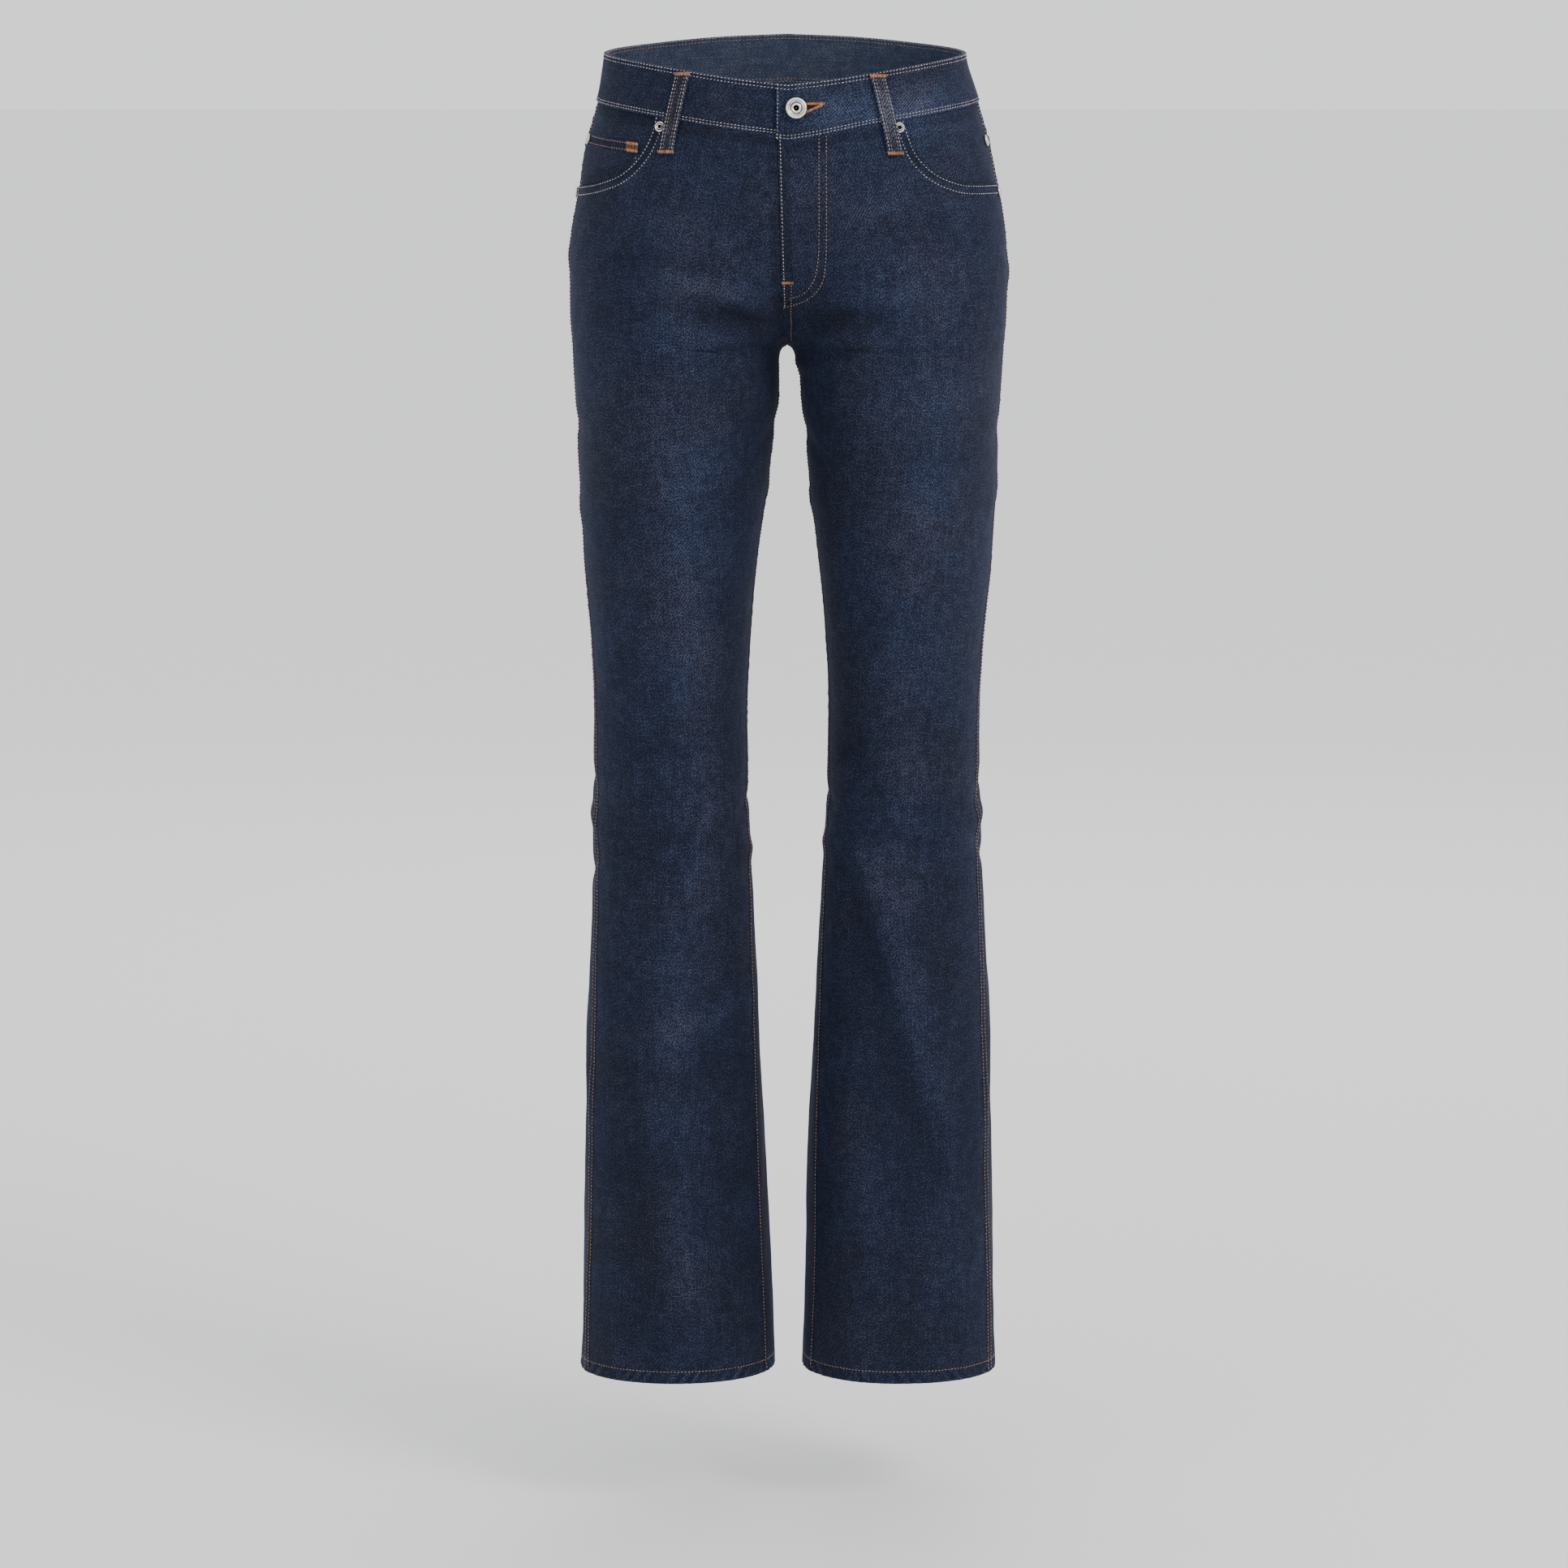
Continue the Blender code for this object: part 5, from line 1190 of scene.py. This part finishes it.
def row_tree():
    """Geometry Nodes for sewing: a thread at even steps along each line, lying on the cloth that the line faces."""
    tree, node, given = new_tree("Sewing", {
        "Lines": "Geometry", "Pitch": 0.0035, "Length": 0.0028, "Thickness": 0.0007, "Turn": 0.0, "Unevenness": 0.08,
        "Thread": "Material",
    }, "Sewn")
    bead = node("GeometryNodeMeshUVSphere", {"Segments": 6, "Rings": 4, "Radius": 0.5})
    size = node("ShaderNodeCombineXYZ", (given["Length"], given["Thickness"], given["Thickness"]))
    stitch = node("GeometryNodeTransform", {"Geometry": bead, "Scale": size})
    soft = node("GeometryNodeSetShadeSmooth", {"Geometry": stitch, "Shade Smooth": True})
    curve = node("GeometryNodeMeshToCurve", {"Mesh": given["Lines"]})
    steps = node("GeometryNodeResampleCurve", {"Curve": curve, "Length": given["Pitch"]}, mode="LENGTH")
    facing = node("GeometryNodeInputNamedAttribute", {"Name": "facing"}, data_type="FLOAT_VECTOR")
    along = node("GeometryNodeInputTangent")
    turned = node("FunctionNodeAxesToRotation", (facing, along), primary_axis="Z", secondary_axis="X")
    chance, shade = (node("FunctionNodeRandomValue", {2: low, 3: 1.0, "Seed": seed}, data_type="FLOAT").outputs[1]
                     for low, seed in ((-1.0, 7), (0.0, 11)))
    sway = node("ShaderNodeMath", (chance, given["Unevenness"]), operation="MULTIPLY")
    lean = node("ShaderNodeMath", (sway, given["Turn"]), operation="ADD")
    spin = node("FunctionNodeEulerToRotation", (node("ShaderNodeCombineXYZ", {"Z": lean}),))
    placed = node("FunctionNodeRotateRotation", (turned, spin), rotation_space="LOCAL")
    sewn = node("GeometryNodeInstanceOnPoints", {"Points": steps, "Instance": soft, "Rotation": placed})
    tinted = node("GeometryNodeStoreNamedAttribute", {"Geometry": sewn, "Name": "shade", "Value": shade},
                  data_type="FLOAT", domain="INSTANCE")
    real = node("GeometryNodeRealizeInstances", (tinted,))
    coloured = node("GeometryNodeSetMaterial", {"Geometry": real, "Material": given["Thread"]})
    node("NodeGroupOutput", (coloured,))
    return tree


def fastener_tree():
    """Geometry Nodes for turned metal: one copy of a turned piece on each point, along the way that the point faces."""
    tree, node, given = new_tree("Fasteners", {"Places": "Geometry", "Turned piece": "Object"}, "Fixed")
    piece = node("GeometryNodeObjectInfo", {"Object": given["Turned piece"]}).outputs["Geometry"]
    facing = node("GeometryNodeInputNamedAttribute", {"Name": "facing"}, data_type="FLOAT_VECTOR")
    turned = node("FunctionNodeAlignRotationToVector", {"Vector": facing}, axis="Z")
    points = node("GeometryNodeMeshToPoints", {"Mesh": given["Places"]})
    fixed = node("GeometryNodeInstanceOnPoints", {"Points": points, "Instance": piece, "Rotation": turned})
    node("NodeGroupOutput", (node("GeometryNodeRealizeInstances", (fixed,)),))
    return tree


def in_scene(name, data):
    """A new object in the scene."""
    obj = bpy.data.objects.new(name, data)
    bpy.context.scene.collection.objects.link(obj)
    return obj


def grown(name, lines, tree, values):
    """Run a tree on lines of (points, ways they face) and keep the result as one plain mesh."""
    verts, ways = (np.concatenate([line[k] for line in lines]) for k in (0, 1))
    edges, start = [], 0
    for points, _ in lines:
        edges += [(start + k, start + k + 1) for k in range(len(points) - 1)]
        start += len(points)
    mesh = bpy.data.meshes.new(name)
    mesh.from_pydata(verts.tolist(), edges, [])
    mesh.attributes.new("facing", "FLOAT_VECTOR", "POINT").data.foreach_set("vector", ways.ravel())
    obj = in_scene(name, mesh)
    nodes = obj.modifiers.new("Nodes", "NODES")
    nodes.node_group = tree
    sockets = {item.name: item.identifier for item in tree.interface.items_tree if item.in_out == "INPUT"}
    for label, value in values.items():
        nodes[sockets[label]] = value
    graph = bpy.context.evaluated_depsgraph_get()
    made = bpy.data.meshes.new_from_object(obj.evaluated_get(graph), preserve_all_data_layers=True, depsgraph=graph)
    obj.modifiers.clear()
    obj.data = made
    made.name = name
    bpy.data.meshes.remove(mesh)
    return obj


def panel_line(side, face, distance, z, lift=0.0):
    """A line of sewing on a panel: its points, and the ways that they face."""
    return cloth(side, face, np.asarray(distance, float), np.asarray(z, float), lift + ON_CLOTH)[:2]


def outseam_line(side, from_seam, top_z, low_z, lift=0.0):
    """A line down the side seam, on the front."""
    z = np.linspace(top_z, low_z, 260)
    distance = Section(side, FRONT, z).length - seam_forward(FRONT, "outseam", z) - from_seam
    return panel_line(side, FRONT, distance, z, lift)


def mouth_line(side, from_edge):
    """A line along the pocket mouth, at a distance from its edge."""
    d, z = mouth_curve(side, 60)
    run_d, run_z = np.gradient(d), np.gradient(z)
    size = np.hypot(run_d, run_z)
    off_d, off_z = d + from_edge * run_z / size, z - from_edge * run_d / size
    top = band_bottom(off_d / Section(side, FRONT, off_z).length) - ROW_START
    end = Section(side, FRONT, off_z).length - 0.002
    keep = (off_z < top) & (off_d < end)
    return panel_line(side, FRONT, off_d[keep], off_z[keep])


def fly_line(places):
    """A line on the fly's left front through places of (x, z)."""
    x, z = np.array(places).T
    key = walked(x, z)
    at = np.linspace(0.0, key[-1], 90)
    x, z = hermite(key, x, at), hermite(key, z, at)
    distance = np.sign(x) * Section(LEFT, FRONT, z).distance_to(abs(x))
    return panel_line(LEFT, FRONT, distance, z)


def band_line(first, last, depth, inside=False):
    """A line round the waistband at a depth below its top edge."""
    q = np.linspace(first, last, 500)
    points, normals, inner, _ = band_surface(q, depth / BAND_HEIGHT)
    if inside:
        return inner - normals * (BAND_WALL + ON_CLOTH), -normals
    return points + normals * ON_CLOTH, normals


def pocket_line(side, u, v, lift=0.0):
    """A line on a back pocket through places of (u, v)."""
    across, z = pocket_places(u, v)
    return panel_line(side, BACK, Section(side, BACK, z).distance_to(across), z, POCKET_LIFT + lift)


def pocket_round(side, inset):
    """A line down one side of a back pocket, round its point and up the other side."""
    down = np.linspace(0.0, 1.0, 50)
    low = 1.0 - inset / POCKET_HEIGHT
    reach = 1.0 - inset / (POCKET_WIDTH / 2)
    u = np.concatenate([np.full(50, -reach), np.linspace(-reach, reach, 60)[1:-1], np.full(50, reach)])
    return pocket_line(side, u, np.concatenate([down * low, np.full(58, low), down[::-1] * low]))


def sewing(threads):
    """All the sewing, one piece for each kind of thread and place."""
    tree = row_tree()
    both = (ROW_NEAR, ROW_FAR)
    span = np.linspace(0.03, 0.97, 30)
    band = [band_line(BAND_START + 0.004, 4.0 + BAND_START - 0.004, depth) for depth in BAND_ROWS]
    band += [band_surface(np.full(30, BAND_START + BAND_ROWS[0] / QUARTER), span, ON_CLOTH)[:2]]
    band_inside = [band_line(BAND_START + 0.02, BAND_END - 0.01, depth, True) for depth in BAND_ROWS]
    # Fly's edge, pocket mouths, loops' edges and the side seams above the mouths
    z = np.linspace(float(band_bottom(0.0)) - ROW_START, FLY_END_Z + 0.002, 90)
    edges = [panel_line(LEFT, FRONT, fly_edge(z) + ROW_NEAR, z)]
    edges += [mouth_line(side, off) for side in SIDE for off in both]
    edges += [loop_surface(loop, span, shift, ON_CLOTH)[:2]
              for loop in LOOPS for shift in (-LOOP_EDGE_ROW, LOOP_EDGE_ROW)]
    top = float(band_bottom(1.0)) - ROW_START
    low = {side: MOUTH[-1][MOUTH[0].index("z_" + SIDE[side])] for side in SIDE}
    edges += [outseam_line(side, ROW_NEAR, top, low[side] + 0.001, FACING_LIFT) for side in SIDE]
    # Fly, loops' folds, side seams, inseams and hems
    seams = [fly_line(line) for line in FLY_ROWS]
    seams += [loop_surface(loop, span, shift, ON_CLOTH)[:2]
              for loop in LOOPS for shift in (-LOOP_FOLD_ROW, LOOP_FOLD_ROW)]
    for side in SIDE:
        seams += [outseam_line(side, off, low[side] - 0.002, HEM_Z + ROW_END) for off in both]
        z = np.linspace(CROTCH_Z - ARCH_HEIGHT, HEM_Z + ROW_END, 260)
        seams += [panel_line(side, FRONT, seam_forward(FRONT, "inseam", z) + ROW_FAR - 0.0006, z)]
        z = np.full(70, HEM_Z + HEM_ROW)
        for face in (FRONT, BACK):
            first = seam_forward(face, "inseam", z)[0] + 0.0006
            last = Section(side, face, z[:1]).length[0] - seam_forward(face, "outseam", z)[0] - 0.0006
            seams += [panel_line(side, face, np.linspace(first, last, 70), z)]
    coin_d, coin_end = coin_ends()
    d = np.linspace(coin_d + 0.001, coin_end - COIN_FAR, 30)
    seams += [panel_line(RIGHT, FRONT, d, coin_top(d) - drop, COIN_LIFT) for drop in COIN_ROWS]
    z = np.linspace(COIN_TOP_Z - 0.014, -0.058, 16)
    seams += [panel_line(RIGHT, FRONT, np.full(16, coin_d + ROW_NEAR), z, COIN_LIFT)]
    # Yokes, back pockets and the rise
    back = []
    share = np.linspace(0.004, 0.996, 70)
    for side in SIDE:
        for z in (yoke_seam(share) + ROW_NEAR, yoke_seam(share) + ROW_FAR):
            back += [panel_line(side, BACK, share * Section(side, BACK, z).length, z, FELL_HEIGHT)]
        back += [pocket_round(side, off) for off in both]
        back += [pocket_line(side, np.linspace(-0.985, 0.985, 60), np.full(60, drop / POCKET_HEIGHT), 0.0003)
                 for drop in POCKET_HEM_ROWS]
    walk, edge_z = inner_edge(BACK, float(band_bottom(2.0)) - ROW_START)
    z = np.interp(np.linspace(0.0, walk[-1], 900), walk, edge_z)
    z = z[z > CROTCH_Z + 0.0005]
    back += [panel_line(LEFT, BACK, np.full(len(z), off), z) for off in both]
    # Bartacks: loops, fly, back pockets and coin pocket, and those down the coin pocket's middle
    shift = np.linspace(-0.5, 0.5, 9) * (LOOP_WIDTH + 0.0006)
    tacks = [loop_surface(loop, at, shift, TACK_LIFT)[:2] for loop in LOOPS for at in LOOP_TACKS]
    tacks += [panel_line(LEFT, FRONT, np.linspace(-0.0042, 0.0048, 9), np.full(9, FLY_ROWS[2][0][1]), FLAT_TACK_LIFT)]
    v = np.linspace(0.004, 0.064, 9)
    tacks += [pocket_line(side, np.full(9, u), v, TACK_LIFT) for side in SIDE for u in (-POCKET_TACK, POCKET_TACK)]
    d = np.linspace(coin_d + 0.0002, coin_d + 0.0108, 9)
    tacks += [panel_line(RIGHT, FRONT, d, coin_top(d) - drop, COIN_LIFT + FLAT_TACK_LIFT) for drop in COIN_ROWS]
    middle = []
    for d in coin_d + np.array((0.0012, 0.0042, 0.0072, 0.0100)):
        z = float(coin_top(d)) - np.linspace(0.0028, 0.0060, 9)
        middle += [panel_line(RIGHT, FRONT, np.full(9, d), z, COIN_LIFT + 0.0001)]
    lips = [buttonhole_line(part) for part in (-1.0, 1.0, 0.0)]
    stitch = {"Pitch": 0.0029, "Length": 0.0019, "Thickness": 0.0008, "Turn": 0.18}
    tack = {"Pitch": 0.00085, "Length": 0.0032, "Thickness": 0.0009, "Turn": math.pi / 2 + 0.25, "Unevenness": 0.25}
    lip = {"Pitch": 0.00055, "Length": 0.0026, "Thickness": 0.00075, "Turn": math.pi / 2 - 0.25, "Unevenness": 0.25}
    for name, lines, dye, values in (
        ("stitches_waistband", band, "grey", stitch),
        ("stitches_waistband_inside", band_inside, "tan", stitch),
        ("stitches_edges", edges, "grey", stitch),
        ("stitches_seams", seams, "tan", stitch),
        ("stitches_back", back, "tan", stitch),
        ("bartacks", tacks, "copper", tack),
        ("bartacks_coin_pocket", middle, "russet", tack),
        ("buttonhole_thread", lips, "copper", lip),
    ):
        dressed(grown(name, lines, tree, values | {"Thread": threads[dye]}))


def hole_height(x):
    """Height of the buttonhole's line, which rises from the button."""
    return HOLE_Z - HOLE_SLOPE * (x - BUTTON_X)


def hole_half(x):
    """Half of the buttonhole's opening, widest at the button."""
    return HOLE_HALF * np.clip((HOLE_END_X - x) / (HOLE_END_X - BUTTON_X), 0.0, 1.0)


def buttonhole_line(part):
    """A lip of the buttonhole (-1 above, 1 below), or its end tack (0)."""
    if part:
        x = np.linspace(BUTTON_X + 0.002, HOLE_END_X - 0.001, 24)
        z = hole_height(x) - part * (hole_half(x) + HOLE_LIP)
    else:
        x = np.linspace(HOLE_END_X - 0.0022, HOLE_END_X + 0.0012, 6)
        z = hole_height(x)
    q = x / Section(LEFT, FRONT, z).length
    return band_surface(q, -(z - band_top(q)) / band_height(q), TACK_LIFT)[:2]


def turned_mesh(name, profile, steps, materials, change):
    """A turned piece about Z from (radius, height, patina and painted shade); rings before change are its recess."""
    verts, faces, slots = [], [], []
    for r, h, _ in profile:
        verts += [(r * math.cos(a), r * math.sin(a), h) for a in np.linspace(0.0, 2.0 * np.pi, steps, endpoint=False)]
    for ring in range(len(profile) - 1):
        for k in range(steps):
            a, b = ring * steps + k, ring * steps + (k + 1) % steps
            faces.append((a, a + steps, b + steps, b))
            slots.append(1 if ring < change else 0)
    mesh = bpy.data.meshes.new(name)
    mesh.from_pydata(verts, [], faces)
    for look in materials:
        mesh.materials.append(look)
    mesh.polygons.foreach_set("material_index", slots)
    # Painted shade with the patina, ring by ring
    patina = np.repeat([row[2] for row in profile], steps)
    mesh.attributes.new("patina", "FLOAT", "POINT").data.foreach_set("value", patina)
    join_doubles(mesh)
    mesh.shade_smooth()
    mesh.set_sharp_from_angle(angle=math.radians(METAL_SHARP))
    return in_scene(name, mesh)


def join_doubles(mesh):
    """Close the poles of a turned mesh and point its faces outwards."""
    bm = bmesh.new()
    bm.from_mesh(mesh)
    bmesh.ops.remove_doubles(bm, verts=bm.verts, dist=1e-6)
    bmesh.ops.recalc_face_normals(bm, faces=bm.faces)
    bm.to_mesh(mesh)
    bm.free()


def metalwork(nickel, recess):
    """The shank button and the six rivets."""
    tree = fastener_tree()
    for name, profile, steps, change, places, nodes in (
        ("button_nickel", BUTTON_PROFILE, 72, BUTTON_RECESS, [button_place()], ["button"]),
        ("rivets_nickel", RIVET_PROFILE, 40, RIVET_RECESS, map(rivet_place, RIVETS), [rivet.name for rivet in RIVETS]),
    ):
        turned = turned_mesh(name + "_turned", profile, steps, [nickel, recess], change)
        made = grown(name, list(places), tree, {"Turned piece": turned})
        bpy.data.objects.remove(turned)
        dressed(made, *nodes, slot="metal")


def button_place():
    """The button's foot on the waistband, and the way it faces."""
    at = np.array([BUTTON_X]), np.array([-BUTTON_DROP])
    return cloth(LEFT, FRONT, *at, BAND_PROUD + LAYER_GAP, False)[:2]


def rivet_place(rivet):
    """A rivet's foot on the cloth that carries it, and the way it faces."""
    z = np.array([rivet.z])
    distance = Section(rivet.side, FRONT, z).distance_to(np.array([rivet.across]))
    sink = MOUTH_SINK if rivet.lift < 0.0 else 0.0
    return cloth(rivet.side, FRONT, distance, z, rivet.lift + LAYER_GAP - sink)[:2]


def shadow_in_buttonhole(look):
    """A dark sheet of painted shadow in the buttonhole's cut, which shows dark beside the button."""
    x = np.linspace(BUTTON_X, HOLE_END_X - 0.0006, 26)
    z = hole_height(x) + hole_half(x) * np.linspace(1.0, -1.0, 7)[:, None]
    q = np.broadcast_to(x / Section(LEFT, FRONT, z[3]).length, z.shape)
    points, normals, inside, wear = band_surface(q, -(z - band_top(q)) / band_height(q), ON_CLOTH)
    uv = np.stack([z, np.broadcast_to(x, z.shape)], axis=-1)
    return dressed(slab("buttonhole_cut", points, inside - normals * 0.0003, normals, uv, wear, [look]))


def area_light(name, place, aim, size, power, colour):
    """A soft rectangular studio light."""
    light = bpy.data.lights.new(name, "AREA")
    light.shape, light.size, light.size_y = "RECTANGLE", *size
    light.energy, light.color = power, linear(colour)[:3]
    obj = in_scene(name, light)
    obj.location = place
    obj.rotation_euler = (Vector(aim) - Vector(place)).to_track_quat("-Z", "Y").to_euler()


def studio_paint(node):
    """Matt studio floor with painted light: a little paler far off, so that it meets the backdrop's tone."""
    place = node("ShaderNodeTexCoord").outputs["Object"]
    away = node("ShaderNodeVectorMath", (place,), operation="LENGTH").outputs["Value"]
    # Painted light: paler with distance from the middle
    far = node("ShaderNodeMapRange", (away, 0.5, 4.5))
    drift = node("ShaderNodeTexNoise", (place, 0.0, 0.8, 2.0, 0.5))
    return {
        "Base Color": node("ShaderNodeMix", {0: far, 6: linear("#e7e7e7"), 7: linear("#f2f2f2")}).outputs[MIXED],
        "Roughness": node("ShaderNodeMapRange", (drift, 0.3, 0.7, 0.85, 0.95)),
    }


def studio():
    """Pale floor, light grey world, soft lights and the camera."""
    mesh = bpy.data.meshes.new("studio_floor")
    corners = [(x * FLOOR_HALF, y * FLOOR_HALF, FLOOR_Z) for x, y in ((-1, -1), (1, -1), (1, 1), (-1, 1))]
    mesh.from_pydata(corners, [], [(0, 1, 2, 3)])
    mesh.materials.append(material("matt_studio_floor", studio_paint))
    in_scene("studio_floor", mesh)
    world = bpy.data.worlds.new("studio")
    world.use_nodes = True
    backdrop = world.node_tree.nodes["Background"].inputs
    backdrop["Color"].default_value = linear("#f6f7f9")
    backdrop["Strength"].default_value = WORLD_STRENGTH
    bpy.context.scene.world = world
    for row in LIGHTS:
        area_light(*row)
    camera = bpy.data.cameras.new("camera")
    camera.lens, camera.sensor_width, camera.clip_end = CAMERA_LENS, CAMERA_SENSOR, CAMERA_FAR
    eye = in_scene("camera", camera)
    eye.location = CAMERA_PLACE
    eye.rotation_euler = (math.radians(90.0 - CAMERA_DOWN), 0.0, 0.0)
    bpy.context.scene.camera = eye


# Materials, each named for what it stands for
indigo, doubled, underside = (material(name, denim, *tones) for name, *tones in (
    ("denim_face", "#060a1b", "#0f1937", "#667694", "#757785", 0.36),
    ("denim_loops", "#080b19", "#12172b", "#6a7186", "#75717b", 0.55),
    ("denim_reverse", "#222b40", "#3c465c", "#7c828e", "#868482", 0.55),
))
threads = {dye: material("thread_" + dye, thread, dark, light) for dye, dark, light in (
    ("grey", "#625d66", "#b8b0b2"),
    ("tan", "#513d39", "#977b6b"),
    ("copper", "#4a2817", "#bd7c4e"),
    ("russet", "#2c1712", "#7c4b38"),
)}
# Dark tones of nickel and the copper recess: patina and painted shade in grooves, recess and underside
nickel = material("nickel_plate", metal, "#38342f", "#efece6", 0.28)
recess = material("aged_copper_recess", metal, "#120c09", "#a08468", 0.42)
# Painted shadow for the buttonhole's cut
slit = material("cut_edge_shadow", plain, "#0b0d13", "#171a24", 300.0, 0.95)

faces = [indigo, underside]
pieces = [leg_panel(side, face, faces) for side in SIDE for face in FACE]
pieces += [maker(side, faces) for side in SIDE for maker in (yoke, facing, back_pocket)]
pieces += [maker(faces) for maker in (coin_pocket, fly_shield, waistband)]
pieces += [belt_loop(loop, [doubled, underside]) for loop in LOOPS]
sewing(threads)
shadow_in_buttonhole(slit)
metalwork(nickel, recess)
studio()
